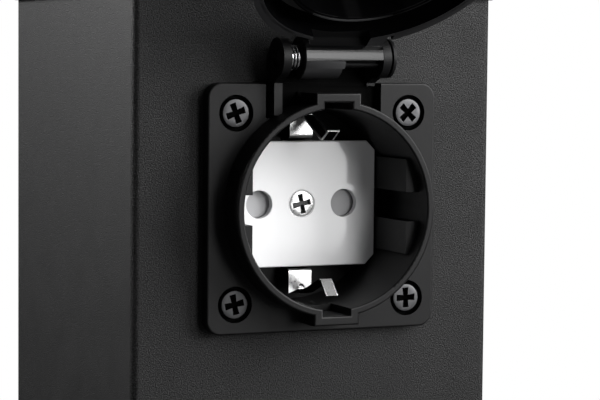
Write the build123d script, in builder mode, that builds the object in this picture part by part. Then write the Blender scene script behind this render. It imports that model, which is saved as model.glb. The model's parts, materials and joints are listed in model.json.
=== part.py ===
from build123d import *

import os
from math import cos, pi, radians, sin

os.makedirs("parts", exist_ok=True)

# A square garden post with one flanged, lidded socket outlet in its front face.
# Millimetres, +Z up, front face towards -Y, origin at the middle of the base plate's underside.

# Post
post_width = 79.0
post_length = 245.0
post_wall = 2.0
post_corner_r = 1.5
port_size = 8.0
tapped_r = 1.6
socket_drop = 42.0

# Base plate and what stands on it
base_size = 110.0
base_t = 4.0
base_corner_r = 8.0
base_edge_r = 1.0
fixing_inset = 9.0
fixing_r = 3.5
seal_t = 1.0
entry_r = 10.2
entry_lip_r = 13.2
entry_lip_t = 1.8
entry_upper_lip_t = 2.0
entry_cone_height = 8.0
entry_cone_r = 6.6
cable_r = 4.6
relief_half_span = 20.0
relief_leg = 6.0
relief_depth = 7.0
relief_height = 22.0
relief_bar_height = 8.0
relief_split = 0.4
relief_screw_half_spacing = 9.5
stud_r = 2.5
stud_height = 16.0
stud_wall_gap = 6.9
stud_port_gap = 2.9
stud_nut_r = 4.6
stud_nut_t = 4.0

# Top cap
cap_t = 3.5
cap_overhang = 0.8
cap_seal_t = 0.3
cap_corner_r = 2.2
cap_edge_r = 0.8
cap_rib_t = 2.0
cap_rib_depth = 6.0

# Countersunk screws of the cap, the base and the relief bracket
flat_head_r = 3.2
flat_head_h = 1.7
flat_screw_length = 12.0
recess_share = 0.62
recess_width = 0.8

# Flange of the outlet
flange_size = 50.0
flange_corner_r = 3.0
flange_edge_r = 0.4
flange_seal_t = 0.5
flange_seal_inset = 0.5
flange_front = 3.0
hole_inset = 6.0
counterbore_r = 3.65
counterbore_floor = 1.3
flange_screw_head_r = 2.95
flange_screw_head_h = 1.45
flange_screw_reach = 9.0
flange_nut_r = 3.2
flange_nut_t = 2.6
flange_cross_angles = (20.0, 45.0, 12.0, 2.0)
recess_half = 12.7
recess_depth = 7.0
recess_floor = 1.2

# Collar and well
collar_margin = 3.5
collar_wall = 1.5
cutout_gap = 0.3
collar_front = 10.2
collar_edge_r = 0.4
bump_half = 4.9
bump_rise = 1.6
notch_half = 3.0
notch_wall = 1.85
notch_floor = 1.0
flat_rise = 3.14
flat_front = 6.6
flat_reach = 9.6
groove_half = 3.0
floor_front = -12.5
floor_t = 2.0
skirt_length = 2.0
skirt_wall = 2.1

# White contact cover
cover_side_gap = 0.21
cover_corner_gap = 0.072
cover_corner = 2.0
cover_front = -7.5
cover_t = 1.6
cover_wall = 1.4
cover_edge_r = 0.3
cover_boss_r = 3.0
pin_inset = 7.15
pin_hole_r = 2.85
pin_chamfer = 0.35
cover_screw_head_r = 2.7
cover_screw_head_h = 1.5
cover_screw_r = 1.25
cover_screw_reach = 14.0
cover_cross_angle = 8.0

# Shutter behind the pin holes
shutter_gap = 0.3
shutter_t = 1.2
shutter_lobe_r = 3.1
shutter_lobe_edge_r = 0.45
shutter_arm = 4.4
shutter_hub_r = 5.0
spring_wire_t = 0.6
spring_sector = 300.0

# Earth clips
clip_t = 0.6
clip_width = 5.2
clip_bend_r = 0.9
clip_step_gap = 0.85
clip_pad_front = -8.0
clip_turn_gap = 1.4
clip_apex_d = 2.5
clip_apex_gaps = (6.45, 5.4)
clip_lip_d = 5.5
clip_lip_gaps = (4.5, 2.3)
clip_spring_width = 2.65
clip_spring_u = 0.975

# Contact carrier, contacts and terminals
carrier_gap = 0.2
carrier_length = 19.5
sleeve_outer_r = 3.3
sleeve_inner_r = 2.45
sleeve_front = -13.0
sleeve_length = 13.0
sleeve_slit = 0.8
sleeve_gap = 0.4
terminal_u = 7.0
terminal_v = 9.0
terminal_d = 7.0
terminal_gap = 1.0
wire_hole_r = 1.6
terminal_screw_r = 1.5
terminal_screw_head_r = 2.2
terminal_screw_head_h = 1.4
earth_terminal_v = 11.0
earth_terminal_size = 6.6
earth_rivet_r = 1.4
rear_depth = 8.0
rear_wall = 2.0
rear_boss_r = 3.0
rear_screw_inset = 3.8
rear_screw_r = 1.3
rear_screw_head_r = 2.5
rear_screw_head_h = 1.3
rear_screw_reach = 8.0
lead_hole_r = 3.4

# Hinge
hinge_rise = 5.0
hinge_d = 5.8
ear_outer = 11.72
ear_t = 1.76
ear_r = 4.0
ear_back = 0.9
ear_rib_front = 4.9
ear_low_front = 2.0
ear_root_gap = 0.6
pin_r = 1.85
pin_recess = 0.8
running_gap = 0.05

# Lid, drawn closed and turned open about its hinge
lid_open_angle = 125.75
lid_bump_gap = 0.8
lid_wall = 1.9
lid_height = 8.8
lid_roof = 2.0
lid_edge_r = 2.2
lid_plug_gap = 1.0
lid_plug_t = 1.0
lid_plug_front = 1.1
lid_seal_inset = 1.5
lid_seal_side_gap = 0.2
lid_seal_gap = 0.3
barrel_r = 4.2
barrel_left = -7.0
barrel_side_gap = 0.2
barrel_chamfer = 1.1
neck_depth = 7.4
neck_notch_half = 6.2
neck_notch_depth = 2.0
barrel_step_u = 1.0
barrel_step_drop = 1.1

# Hinge spring
coil_wire = 0.5
coil_pitch = 0.93
coil_r = 2.42
coil_turns = 2
coil_side_gap = 0.45
coil_leg = 5.4

# One overrun serves every cut
overrun = 1.0

# Derived places
fixing_spacing = base_size - 2 * fixing_inset
half = post_width / 2
post_inner = post_width - 2 * post_wall
port_spacing = post_inner - port_size
post_bottom = base_t + seal_t
post_top = post_bottom + post_length
cap_bottom = post_top + cap_seal_t
socket_z = post_top - socket_drop
floor_back = floor_front - floor_t
carrier_back = floor_back - carrier_length
cover_back = cover_front - cover_t
ear_inner = ear_outer - ear_t
barrel_right = ear_inner - barrel_side_gap
roof_inside = lid_height - lid_roof
stud_x = post_inner / 2 - stud_wall_gap - stud_nut_r
stud_y = post_inner / 2 - port_size - stud_port_gap - stud_nut_r

# Places across the outlet, from its flange inwards
hole_spacing = flange_size - 2 * hole_inset
recess_bottom = flange_size / 2 - recess_depth
ear_root = recess_bottom + ear_root_gap
collar_outer_r = flange_size / 2 - collar_margin
cutout_r = collar_outer_r + cutout_gap
bump_reach = collar_outer_r + bump_rise
notch_reach = bump_reach - notch_wall
well_r = collar_outer_r - collar_wall
skirt_inner_r = collar_outer_r - skirt_wall
carrier_r = skirt_inner_r - carrier_gap
rear_screw_place_r = carrier_r - rear_screw_inset
flat_half = well_r - flat_rise
cover_width = 2 * (flat_half - cover_side_gap)
cover_corner_v = ((well_r - cover_corner_gap) ** 2 - (cover_width / 2) ** 2) ** (1 / 2)
cover_height = 2 * (cover_corner_v + cover_corner)
pin_spacing = cover_width - 2 * pin_inset
clip_step_v = cover_height / 2 + clip_step_gap
clip_turn_v = well_r - clip_turn_gap
hinge_v = flange_size / 2 + hinge_rise
lid_inner_r = bump_reach + lid_bump_gap
lid_outer_r = lid_inner_r + lid_wall
lid_seal_outer_r = lid_inner_r - lid_seal_inset
lid_plug_r = well_r - lid_plug_gap
lid_seal_inner_r = lid_plug_r + lid_seal_side_gap

# Frames: the outlet's own (u right, v up, d out of the front face) and the open lid's about its hinge
outlet = Plane(origin=(0, -half, socket_z), x_dir=(1, 0, 0), z_dir=(0, -1, 0))
open_turn = radians(lid_open_angle)
open_lid = Plane(
    origin=(0, -half - hinge_d, socket_z + hinge_v),
    x_dir=(1, 0, 0),
    z_dir=(0, -cos(open_turn), sin(open_turn)),
)


def post_section(hole_r):
    """Square tube section with a tapped port in each corner."""
    RectangleRounded(post_width, post_width, post_corner_r)
    Rectangle(post_inner, post_inner, mode=Mode.SUBTRACT)
    with GridLocations(port_spacing, port_spacing, 2, 2):
        Rectangle(port_size, port_size)
        Circle(hole_r, mode=Mode.SUBTRACT)


def cross(reach):
    """Outline of a screw head's cross recess at zero height."""
    with BuildSketch(Plane.XY) as mark:
        Rectangle(2 * reach, recess_width)
        Rectangle(recess_width, 2 * reach)
    return mark.sketch


def flat_screw(head_r, head_h, shank_r, length):
    """Countersunk screw, head flush at zero height, shank downwards."""
    with BuildPart() as screw:
        with BuildSketch(Plane.XZ):
            Polygon(
                (0, 0), (head_r, 0), (shank_r, -head_h), (shank_r, -length), (0, -length), align=None
            )
        revolve(axis=Axis.Z)
        extrude(cross(head_r * recess_share), amount=-head_h * recess_share, mode=Mode.SUBTRACT)
    return screw.part


def pan_screw(head_r, head_h, shank_r, length):
    """Round headed screw, top of the head at zero height, shank downwards."""
    with BuildPart() as screw:
        Cylinder(head_r, head_h, align=(Align.CENTER, Align.CENTER, Align.MAX))
        fillet(screw.edges().sort_by(Axis.Z)[-1], head_h * recess_share / 2)
        with BuildSketch(Plane.XY.offset(-head_h)):
            Circle(shank_r)
        extrude(amount=-length)
        extrude(cross(head_r * recess_share), amount=-head_h * recess_share, mode=Mode.SUBTRACT)
    return screw.part


def hex_nut(radius, thickness, hole_r):
    """Hexagon nut standing on zero height."""
    with BuildPart() as nut:
        with BuildSketch(Plane.XY):
            RegularPolygon(radius, 6)
            Circle(hole_r, mode=Mode.SUBTRACT)
        extrude(amount=thickness)
    return nut.part


flat_screw_part = flat_screw(flat_head_r, flat_head_h, tapped_r, flat_screw_length)

# Post tube: extruded, with the outlet's cut-out and screw holes in its front wall
with BuildPart() as post_tube:
    with BuildSketch(Plane.XY.offset(post_bottom)):
        post_section(tapped_r)
    extrude(amount=post_length)
    with BuildSketch(outlet.offset(overrun)):
        Circle(cutout_r)
        with GridLocations(hole_spacing, hole_spacing, 2, 2):
            Circle(tapped_r)
    extrude(amount=-(post_wall + 2 * overrun), mode=Mode.SUBTRACT)
post_tube.part.label = "post_tube"
export_step(post_tube.part, "parts/post_tube.step")

# Base plate: fixing holes outside the post, countersunk holes under the ports, a recessed cable entry
relief_leg_place = relief_half_span - relief_leg / 2
with BuildPart() as base_plate:
    with BuildSketch(Plane.XY):
        RectangleRounded(base_size, base_size, base_corner_r)
        with GridLocations(fixing_spacing, fixing_spacing, 2, 2):
            Circle(fixing_r, mode=Mode.SUBTRACT)
        Circle(entry_r, mode=Mode.SUBTRACT)
    extrude(amount=base_t)
    fillet(base_plate.faces().sort_by(Axis.Z)[-1].outer_wire().edges(), base_edge_r)
    with BuildSketch(Plane.XY):
        Circle(entry_lip_r)
    extrude(amount=entry_lip_t, mode=Mode.SUBTRACT)
    with Locations(Plane.XY.rotated((180, 0, 0))):
        with GridLocations(port_spacing, port_spacing, 2, 2):
            CounterSinkHole(tapped_r, flat_head_r, base_t)
        with Locations((relief_leg_place, -relief_depth / 2), (-relief_leg_place, -relief_depth / 2)):
            CounterSinkHole(tapped_r, flat_head_r, base_t)
base_plate.part.label = "base_plate"
export_step(base_plate.part, "parts/base_plate.step")

# Soft seal between the base plate and the tube
with BuildPart() as base_gasket:
    with BuildSketch(Plane.XY.offset(base_t)):
        post_section(tapped_r)
    extrude(amount=seal_t)
base_gasket.part.label = "base_gasket"
export_step(base_gasket.part, "parts/base_gasket.step")

# Base screws, from below into the ports
with BuildPart() as base_screws:
    with Locations(Plane.XY.rotated((180, 0, 0))):
        with GridLocations(port_spacing, port_spacing, 2, 2):
            add(flat_screw_part)
base_screws.part.label = "base_screws"
export_step(base_screws.part, "parts/base_screws.step")

# Cable grommet: its groove grips the base plate, its cone points up into the post
lip_gap = base_t - entry_lip_t
with BuildPart() as cable_grommet:
    with BuildSketch(Plane.XZ):
        Polygon(
            (cable_r, base_t - lip_gap - entry_lip_t),
            (entry_lip_r, base_t - lip_gap - entry_lip_t),
            (entry_lip_r, entry_lip_t),
            (entry_r, entry_lip_t),
            (entry_r, base_t),
            (entry_lip_r, base_t),
            (entry_lip_r, base_t + entry_upper_lip_t),
            (entry_cone_r + entry_upper_lip_t, base_t + entry_upper_lip_t),
            (entry_cone_r, base_t + entry_upper_lip_t + entry_cone_height),
            (cable_r, base_t + entry_upper_lip_t + entry_cone_height),
            align=None,
        )
    revolve(axis=Axis.Z)
cable_grommet.part.label = "cable_grommet"
export_step(cable_grommet.part, "parts/cable_grommet.step")

# Strain relief: a bracket over the grommet, and a clamp that closes on the cable from the front
relief_bar_z = base_t + relief_height - relief_bar_height
with BuildPart() as relief_bracket:
    with BuildSketch(Plane.XY.offset(base_t)):
        with Locations((relief_leg_place, relief_depth / 2), (-relief_leg_place, relief_depth / 2)):
            Rectangle(relief_leg, relief_depth)
            Circle(tapped_r, mode=Mode.SUBTRACT)
    extrude(amount=relief_height)
    with BuildSketch(Plane.XY.offset(relief_bar_z)):
        with Locations((0, relief_depth / 2)):
            Rectangle(2 * relief_half_span - 2 * relief_leg, relief_depth)
        Circle(cable_r, mode=Mode.SUBTRACT)
    extrude(amount=relief_bar_height)
    with BuildSketch(Plane.XZ.offset(overrun)):
        with Locations(
            (relief_screw_half_spacing, relief_bar_z + relief_bar_height / 2),
            (-relief_screw_half_spacing, relief_bar_z + relief_bar_height / 2),
        ):
            Circle(tapped_r)
    extrude(amount=-(relief_depth + 2 * overrun), mode=Mode.SUBTRACT)
relief_bracket.part.label = "relief_bracket"
export_step(relief_bracket.part, "parts/relief_bracket.step")

with BuildPart() as relief_bracket_screws:
    with Locations(Plane.XY.rotated((180, 0, 0))):
        with Locations((relief_leg_place, -relief_depth / 2), (-relief_leg_place, -relief_depth / 2)):
            add(flat_screw_part)
relief_bracket_screws.part.label = "relief_bracket_screws"
export_step(relief_bracket_screws.part, "parts/relief_bracket_screws.step")

relief_front = relief_split / 2 + relief_depth
with BuildPart() as relief_clamp:
    with BuildSketch(Plane.XY.offset(relief_bar_z)):
        with Locations((0, -relief_split / 2 - relief_depth / 2)):
            Rectangle(2 * relief_half_span - 2 * relief_leg, relief_depth)
        Circle(cable_r, mode=Mode.SUBTRACT)
    extrude(amount=relief_bar_height)
    with BuildSketch(Plane.XZ.offset(-overrun)):
        with Locations(
            (relief_screw_half_spacing, relief_bar_z + relief_bar_height / 2),
            (-relief_screw_half_spacing, relief_bar_z + relief_bar_height / 2),
        ):
            Circle(tapped_r)
    extrude(amount=relief_front + 2 * overrun, mode=Mode.SUBTRACT)
relief_clamp.part.label = "relief_clamp"
export_step(relief_clamp.part, "parts/relief_clamp.step")

with BuildPart() as relief_clamp_screws:
    for side in (-1, 1):
        clamp_place = Plane(
            origin=(side * relief_screw_half_spacing, -relief_front, relief_bar_z + relief_bar_height / 2),
            x_dir=(1, 0, 0),
            z_dir=(0, -1, 0),
        ).offset(flange_screw_head_h)
        with Locations(clamp_place):
            add(pan_screw(flange_screw_head_r, flange_screw_head_h, tapped_r, relief_front + relief_leg))
relief_clamp_screws.part.label = "relief_clamp_screws"
export_step(relief_clamp_screws.part, "parts/relief_clamp_screws.step")

# Earth stud of the metal post, with its nut
with BuildPart() as earth_stud:
    with BuildSketch(Plane.XY.offset(base_t)):
        with Locations((stud_x, stud_y)):
            Circle(stud_r)
    extrude(amount=stud_height)
    chamfer(earth_stud.edges().sort_by(Axis.Z)[-1], stud_r * recess_share / 2)
earth_stud.part.label = "earth_stud"
export_step(earth_stud.part, "parts/earth_stud.step")

with BuildPart() as earth_nut:
    with Locations((stud_x, stud_y, base_t)):
        add(hex_nut(stud_nut_r, stud_nut_t, stud_r))
earth_nut.part.label = "earth_nut"
export_step(earth_nut.part, "parts/earth_nut.step")

# Top seal, cap and its screws
with BuildPart() as cap_gasket:
    with BuildSketch(Plane.XY.offset(post_top)):
        post_section(tapped_r)
    extrude(amount=cap_seal_t)
cap_gasket.part.label = "cap_gasket"
export_step(cap_gasket.part, "parts/cap_gasket.step")

cap_width = post_width + 2 * cap_overhang
rib_length = post_inner - 2 * port_size - 2 * cap_rib_t
rib_place = post_inner / 2 - cap_rib_t
with BuildPart() as top_cap:
    with BuildSketch(Plane.XY.offset(cap_bottom)):
        RectangleRounded(cap_width, cap_width, cap_corner_r)
    extrude(amount=cap_t)
    fillet(top_cap.edges().group_by(Axis.Z)[-1], cap_edge_r)
    with BuildSketch(Plane.XY.offset(cap_bottom)):
        for side in (-1, 1):
            with Locations((0, side * rib_place)):
                Rectangle(rib_length, cap_rib_t)
            with Locations((side * rib_place, 0)):
                Rectangle(cap_rib_t, rib_length)
    extrude(amount=-cap_rib_depth)
    with Locations(Plane.XY.offset(cap_bottom + cap_t)):
        with GridLocations(port_spacing, port_spacing, 2, 2):
            CounterSinkHole(tapped_r, flat_head_r, cap_t + overrun)
top_cap.part.label = "top_cap"
export_step(top_cap.part, "parts/top_cap.step")

with BuildPart() as cap_screws:
    with Locations(Plane.XY.offset(cap_bottom + cap_t)):
        with GridLocations(port_spacing, port_spacing, 2, 2):
            add(flat_screw_part)
cap_screws.part.label = "cap_screws"
export_step(cap_screws.part, "parts/cap_screws.step")

# Flange seal between the outlet and the post
flange_seal_size = flange_size - 2 * flange_seal_inset
with BuildPart() as flange_gasket:
    with BuildSketch(Plane.XY):
        RectangleRounded(flange_seal_size, flange_seal_size, flange_corner_r)
        Circle(cutout_r, mode=Mode.SUBTRACT)
        with GridLocations(hole_spacing, hole_spacing, 2, 2):
            Circle(tapped_r, mode=Mode.SUBTRACT)
    extrude(amount=flange_seal_t)
flange_gasket.part.locate(outlet.location)
flange_gasket.part.label = "flange_gasket"
export_step(flange_gasket.part, "parts/flange_gasket.step")

# Outlet body: flange, collar with two bumps, well with side flats, and the two hinge ears
flat_strip = well_r - flat_half
with BuildPart() as socket_flange:
    with BuildSketch(Plane.XY.offset(flange_seal_t)):
        RectangleRounded(flange_size, flange_size, flange_corner_r)
    extrude(amount=flange_front - flange_seal_t)
    fillet(socket_flange.edges().group_by(Axis.Z)[-1], flange_edge_r)
    with BuildSketch(Plane.XY.offset(recess_floor)):
        with Locations((0, recess_bottom + flange_size / 2)):
            Rectangle(2 * recess_half, flange_size)
    extrude(amount=flange_front, mode=Mode.SUBTRACT)
    with BuildSketch(Plane.XY.offset(flange_seal_t)):
        Circle(collar_outer_r)
    extrude(amount=collar_front - flange_seal_t)
    with BuildSketch(Plane.XY.offset(flange_front - flange_edge_r)):
        Rectangle(2 * bump_half, 2 * bump_reach)
    extrude(amount=collar_front - flange_front + flange_edge_r)
    with BuildSketch(Plane.XY.offset(flange_seal_t)):
        Circle(collar_outer_r)
    extrude(amount=floor_back - skirt_length - flange_seal_t)
    with BuildSketch(Plane.XY.offset(floor_front)):
        Circle(well_r)
    extrude(amount=collar_front - floor_front + overrun, mode=Mode.SUBTRACT)
    with BuildSketch(Plane.XY.offset(notch_floor)):
        Rectangle(2 * notch_half, 2 * notch_reach)
    extrude(amount=collar_front, mode=Mode.SUBTRACT)
    fillet(socket_flange.edges().group_by(Axis.Z)[-1], collar_edge_r)
    with BuildSketch(Plane.XY.offset(floor_front)):
        for side in (-1, 1):
            with Locations((side * (flat_half + flat_strip / 2), 0)):
                Rectangle(flat_strip, 2 * flat_reach)
        Rectangle(2 * well_r, 2 * groove_half, mode=Mode.SUBTRACT)
        Circle(well_r + flat_strip / 2, mode=Mode.INTERSECT)
    extrude(amount=flat_front - floor_front)
    with BuildSketch(Plane.XY.offset(floor_back)):
        Circle(skirt_inner_r)
    extrude(amount=-(skirt_length + overrun), mode=Mode.SUBTRACT)
    with BuildSketch(Plane.XY.offset(floor_front + overrun)):
        with GridLocations(pin_spacing, 0, 2, 1):
            Circle(sleeve_outer_r + sleeve_gap)
        Circle(cover_screw_r)
        with Locations((0, earth_terminal_v)):
            Circle(earth_rivet_r)
    extrude(amount=-(floor_t + 2 * overrun), mode=Mode.SUBTRACT)
    with BuildSketch(Plane.XY.offset(counterbore_floor)):
        with GridLocations(hole_spacing, hole_spacing, 2, 2):
            Circle(counterbore_r)
    extrude(amount=flange_front, mode=Mode.SUBTRACT)
    with BuildSketch(Plane.XY):
        with GridLocations(hole_spacing, hole_spacing, 2, 2):
            Circle(tapped_r)
    extrude(amount=flange_front, mode=Mode.SUBTRACT)
    for ear_side, rib_front in ((-ear_inner, ear_rib_front), (ear_outer, ear_low_front)):
        with BuildSketch(Plane.YZ.offset(ear_side)):
            Polygon(
                (ear_root, recess_floor),
                (ear_root, rib_front),
                (flange_size / 2, rib_front),
                (hinge_v - ear_r * sin(pi / 5), hinge_d + ear_r * cos(pi / 5)),
                (hinge_v, hinge_d),
                (hinge_v + ear_r * sin(pi / 4), hinge_d - ear_r * cos(pi / 4)),
                (hinge_v, ear_back),
                (flange_size / 2, ear_back),
                (flange_size / 2, recess_floor),
                align=None,
            )
            with Locations((hinge_v, hinge_d)):
                Circle(ear_r)
        extrude(amount=-ear_t)
    with BuildSketch(Plane.YZ.offset(ear_outer + overrun)):
        with Locations((hinge_v, hinge_d)):
            Circle(pin_r)
    extrude(amount=-2 * (ear_outer + overrun), mode=Mode.SUBTRACT)
socket_flange.part.locate(outlet.location)
socket_flange.part.label = "socket_flange"
export_step(socket_flange.part, "parts/socket_flange.step")

# Flange screws, each turned as it was left, and their nuts behind the post's wall
screw_places = [
    (side * hole_spacing / 2, level * hole_spacing / 2) for level in (1, -1) for side in (-1, 1)
]
with BuildPart() as flange_screws:
    for (u, v), turn in zip(screw_places, flange_cross_angles):
        with Locations(Location((u, v, counterbore_floor + flange_screw_head_h), (0, 0, turn))):
            add(pan_screw(flange_screw_head_r, flange_screw_head_h, tapped_r, flange_screw_reach))
flange_screws.part.locate(outlet.location)
flange_screws.part.label = "flange_screws"
export_step(flange_screws.part, "parts/flange_screws.step")

with BuildPart() as flange_nuts:
    with Locations(Plane.XY.offset(-post_wall - flange_nut_t)):
        with GridLocations(hole_spacing, hole_spacing, 2, 2):
            add(hex_nut(flange_nut_r, flange_nut_t, tapped_r))
flange_nuts.part.locate(outlet.location)
flange_nuts.part.label = "flange_nuts"
export_step(flange_nuts.part, "parts/flange_nuts.step")

# White contact cover: a shallow cup over the shutter, screwed down at its middle
cover_inner_width = cover_width - 2 * cover_wall
cover_inner_height = cover_height - 2 * cover_wall
with BuildPart() as contact_cover:
    with BuildSketch(Plane.XY.offset(floor_front)) as cover_outline:
        Rectangle(cover_width, cover_height)
        chamfer(cover_outline.vertices(), cover_corner)
    extrude(amount=cover_front - floor_front)
    fillet(contact_cover.edges().group_by(Axis.Z)[-1], cover_edge_r)
    with BuildSketch(Plane.XY.offset(floor_front)):
        Rectangle(cover_inner_width, cover_inner_height)
        Circle(cover_boss_r, mode=Mode.SUBTRACT)
    extrude(amount=cover_back - floor_front, mode=Mode.SUBTRACT)
    with BuildSketch(Plane.XY.offset(floor_front)):
        Rectangle(clip_width + 2 * sleeve_gap, cover_height + overrun)
    extrude(amount=clip_t, mode=Mode.SUBTRACT)
    with BuildSketch(Plane.XY.offset(floor_front)):
        Circle(cover_screw_r)
    extrude(amount=cover_front - floor_front, mode=Mode.SUBTRACT)
    with Locations(Plane.XY.offset(cover_front)):
        CounterSinkHole(cover_screw_r, cover_screw_head_r + pin_chamfer / 2, cover_front - floor_front)
    with BuildSketch(Plane.XY.offset(cover_front)):
        with GridLocations(pin_spacing, 0, 2, 1):
            Circle(pin_hole_r)
    extrude(amount=-(cover_t + overrun / 2), mode=Mode.SUBTRACT)
contact_cover.part.locate(outlet.location)
contact_cover.part.label = "contact_cover"
export_step(contact_cover.part, "parts/contact_cover.step")

with BuildPart() as cover_screw:
    with Locations(Location((0, 0, cover_front), (0, 0, cover_cross_angle))):
        add(flat_screw(cover_screw_head_r, cover_screw_head_h, cover_screw_r, cover_screw_reach))
cover_screw.part.locate(outlet.location)
cover_screw.part.label = "cover_screw"
export_step(cover_screw.part, "parts/cover_screw.step")

# Shutter: a two lobed blade that turns on the cover's boss and closes both pin holes
shutter_front = cover_back - shutter_gap
with BuildPart() as shutter:
    with BuildSketch(Plane.XY.offset(shutter_front - shutter_t)):
        Rectangle(pin_spacing, shutter_arm)
        Circle(shutter_hub_r)
        with GridLocations(pin_spacing, 0, 2, 1):
            Circle(shutter_lobe_r)
    extrude(amount=shutter_t)
    fillet(shutter.edges().group_by(Axis.Z)[-1], shutter_lobe_edge_r)
    with BuildSketch(Plane.XY.offset(shutter_front)):
        Circle(cover_boss_r + running_gap)
    extrude(amount=-shutter_t, mode=Mode.SUBTRACT)
shutter.part.locate(outlet.location)
shutter.part.label = "shutter"
export_step(shutter.part, "parts/shutter.step")

# Shutter return spring: an open ring of flat wire round the boss
spring_back = floor_front + clip_t + shutter_gap / 2
with BuildPart() as shutter_spring:
    with BuildSketch(Plane.XZ):
        with Locations((cover_boss_r + running_gap + spring_wire_t / 2, spring_back + spring_wire_t / 2)):
            Rectangle(spring_wire_t, spring_wire_t)
    revolve(axis=Axis.Z, revolution_arc=spring_sector)
shutter_spring.part.locate(outlet.location)
shutter_spring.part.label = "shutter_spring"
export_step(shutter_spring.part, "parts/shutter_spring.step")

# Earth clip: one strip across the well's floor that steps up to a pad at each end of the cover,
# then turns back over the pad as a narrower sprung lip
strip_mid = floor_front + clip_t / 2
pad_mid = clip_pad_front - clip_t / 2
spring_start = clip_pad_front + clip_t
with BuildPart() as earth_clip:
    for side, apex_gap, lip_gap in zip((1, -1), clip_apex_gaps, clip_lip_gaps):
        with BuildSketch(Plane.YZ):
            with BuildLine() as clip_line:
                FilletPolyline(
                    (0, strip_mid),
                    (side * clip_step_v, strip_mid),
                    (side * clip_step_v, pad_mid),
                    (side * clip_turn_v, pad_mid),
                    (side * (well_r - apex_gap), clip_apex_d),
                    (side * (well_r - lip_gap), clip_lip_d),
                    radius=clip_bend_r,
                )
            trace(line_width=clip_t)
        extrude(amount=clip_width / 2, both=True)
    with BuildSketch(Plane.XY.offset(spring_start)):
        Rectangle(2 * clip_width, 2 * well_r)
        with Locations((clip_spring_u, 0)):
            Rectangle(clip_spring_width, 2 * well_r, mode=Mode.SUBTRACT)
    extrude(amount=clip_lip_d + clip_t - spring_start, mode=Mode.SUBTRACT)
    with BuildSketch(Plane.XY.offset(floor_front)):
        Circle(cover_screw_r)
    extrude(amount=clip_t, mode=Mode.SUBTRACT)
earth_clip.part.locate(outlet.location)
earth_clip.part.label = "earth_clip"
export_step(earth_clip.part, "parts/earth_clip.step")

# Contact carrier behind the well's floor, with pockets open to the rear
pin_place = pin_spacing / 2
pocket_u = terminal_u + 2 * sleeve_gap
pocket_v = terminal_v + 2 * sleeve_gap
earth_pocket = earth_terminal_size + 2 * sleeve_gap
pocket_front = floor_back - floor_t
rear_screw_place = rear_screw_place_r * cos(pi / 4)
with BuildPart() as contact_carrier:
    with BuildSketch(Plane.XY.offset(floor_back)):
        Circle(carrier_r)
    extrude(amount=-carrier_length)
    with BuildSketch(Plane.XY.offset(carrier_back)):
        with GridLocations(pin_spacing, 0, 2, 1):
            Rectangle(pocket_u, pocket_v)
        with Locations((0, earth_terminal_v)):
            Rectangle(earth_pocket, earth_pocket)
    extrude(amount=pocket_front - carrier_back, mode=Mode.SUBTRACT)
    with BuildSketch(Plane.XY.offset(floor_back)):
        with GridLocations(pin_spacing, 0, 2, 1):
            Circle(sleeve_outer_r + sleeve_gap)
        with Locations((0, earth_terminal_v)):
            Circle(earth_rivet_r)
        Circle(cover_screw_r)
    extrude(amount=-(cover_screw_reach + cover_front - floor_back), mode=Mode.SUBTRACT)
    with BuildSketch(Plane.XY.offset(carrier_back)):
        with Locations((rear_screw_place, -rear_screw_place), (-rear_screw_place, -rear_screw_place)):
            Circle(rear_screw_r)
    extrude(amount=rear_screw_reach, mode=Mode.SUBTRACT)
contact_carrier.part.locate(outlet.location)
contact_carrier.part.label = "contact_carrier"
export_step(contact_carrier.part, "parts/contact_carrier.step")

# Live and neutral contacts: a slit sleeve behind each pin hole, on a block with a wire hole and a screw
sleeve_back = sleeve_front - sleeve_length
terminal_back = sleeve_back - terminal_d


def pin_contact(place):
    """Sleeve and terminal block at the given place across the outlet."""
    with BuildPart() as contact:
        with BuildSketch(Plane.XY.offset(sleeve_front)):
            with Locations((place, 0)):
                Circle(sleeve_outer_r)
                Circle(sleeve_inner_r, mode=Mode.SUBTRACT)
                Rectangle(sleeve_slit, 2 * sleeve_outer_r, mode=Mode.SUBTRACT)
        extrude(amount=-sleeve_length)
        with BuildSketch(Plane.XY.offset(sleeve_back)):
            with Locations((place, 0)):
                Rectangle(terminal_u, terminal_v)
        extrude(amount=-terminal_d)
        with BuildSketch(Plane.XY.offset(terminal_back)):
            with Locations((place, 0)):
                Circle(terminal_screw_r)
        extrude(amount=terminal_d, mode=Mode.SUBTRACT)
        with BuildSketch(Plane.XZ.offset(terminal_v)):
            with Locations((place, terminal_back + terminal_d / 2)):
                Circle(wire_hole_r)
        extrude(amount=-terminal_v, mode=Mode.SUBTRACT)
    contact.part.locate(outlet.location)
    return contact


line_contact = pin_contact(-pin_place)
line_contact.part.label = "line_contact"
export_step(line_contact.part, "parts/line_contact.step")

neutral_contact = pin_contact(pin_place)
neutral_contact.part.label = "neutral_contact"
export_step(neutral_contact.part, "parts/neutral_contact.step")

# Earth terminal: a block behind the carrier's front, riveted through to the strip
earth_front = pocket_front
earth_back = terminal_back
with BuildPart() as earth_terminal:
    with BuildSketch(Plane.XY.offset(earth_back)):
        with Locations((0, earth_terminal_v)):
            Rectangle(earth_terminal_size, earth_terminal_size)
            Circle(terminal_screw_r, mode=Mode.SUBTRACT)
    extrude(amount=terminal_d)
    with BuildSketch(Plane.XY.offset(earth_back + terminal_d)):
        with Locations((0, earth_terminal_v)):
            Rectangle(earth_terminal_size, earth_terminal_size)
    extrude(amount=earth_front - earth_back - terminal_d)
    with BuildSketch(Plane.XY.offset(earth_front)):
        with Locations((0, earth_terminal_v)):
            Circle(earth_rivet_r)
    extrude(amount=floor_front - earth_front)
earth_terminal.part.locate(outlet.location)
earth_terminal.part.label = "earth_terminal"
export_step(earth_terminal.part, "parts/earth_terminal.step")

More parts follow.
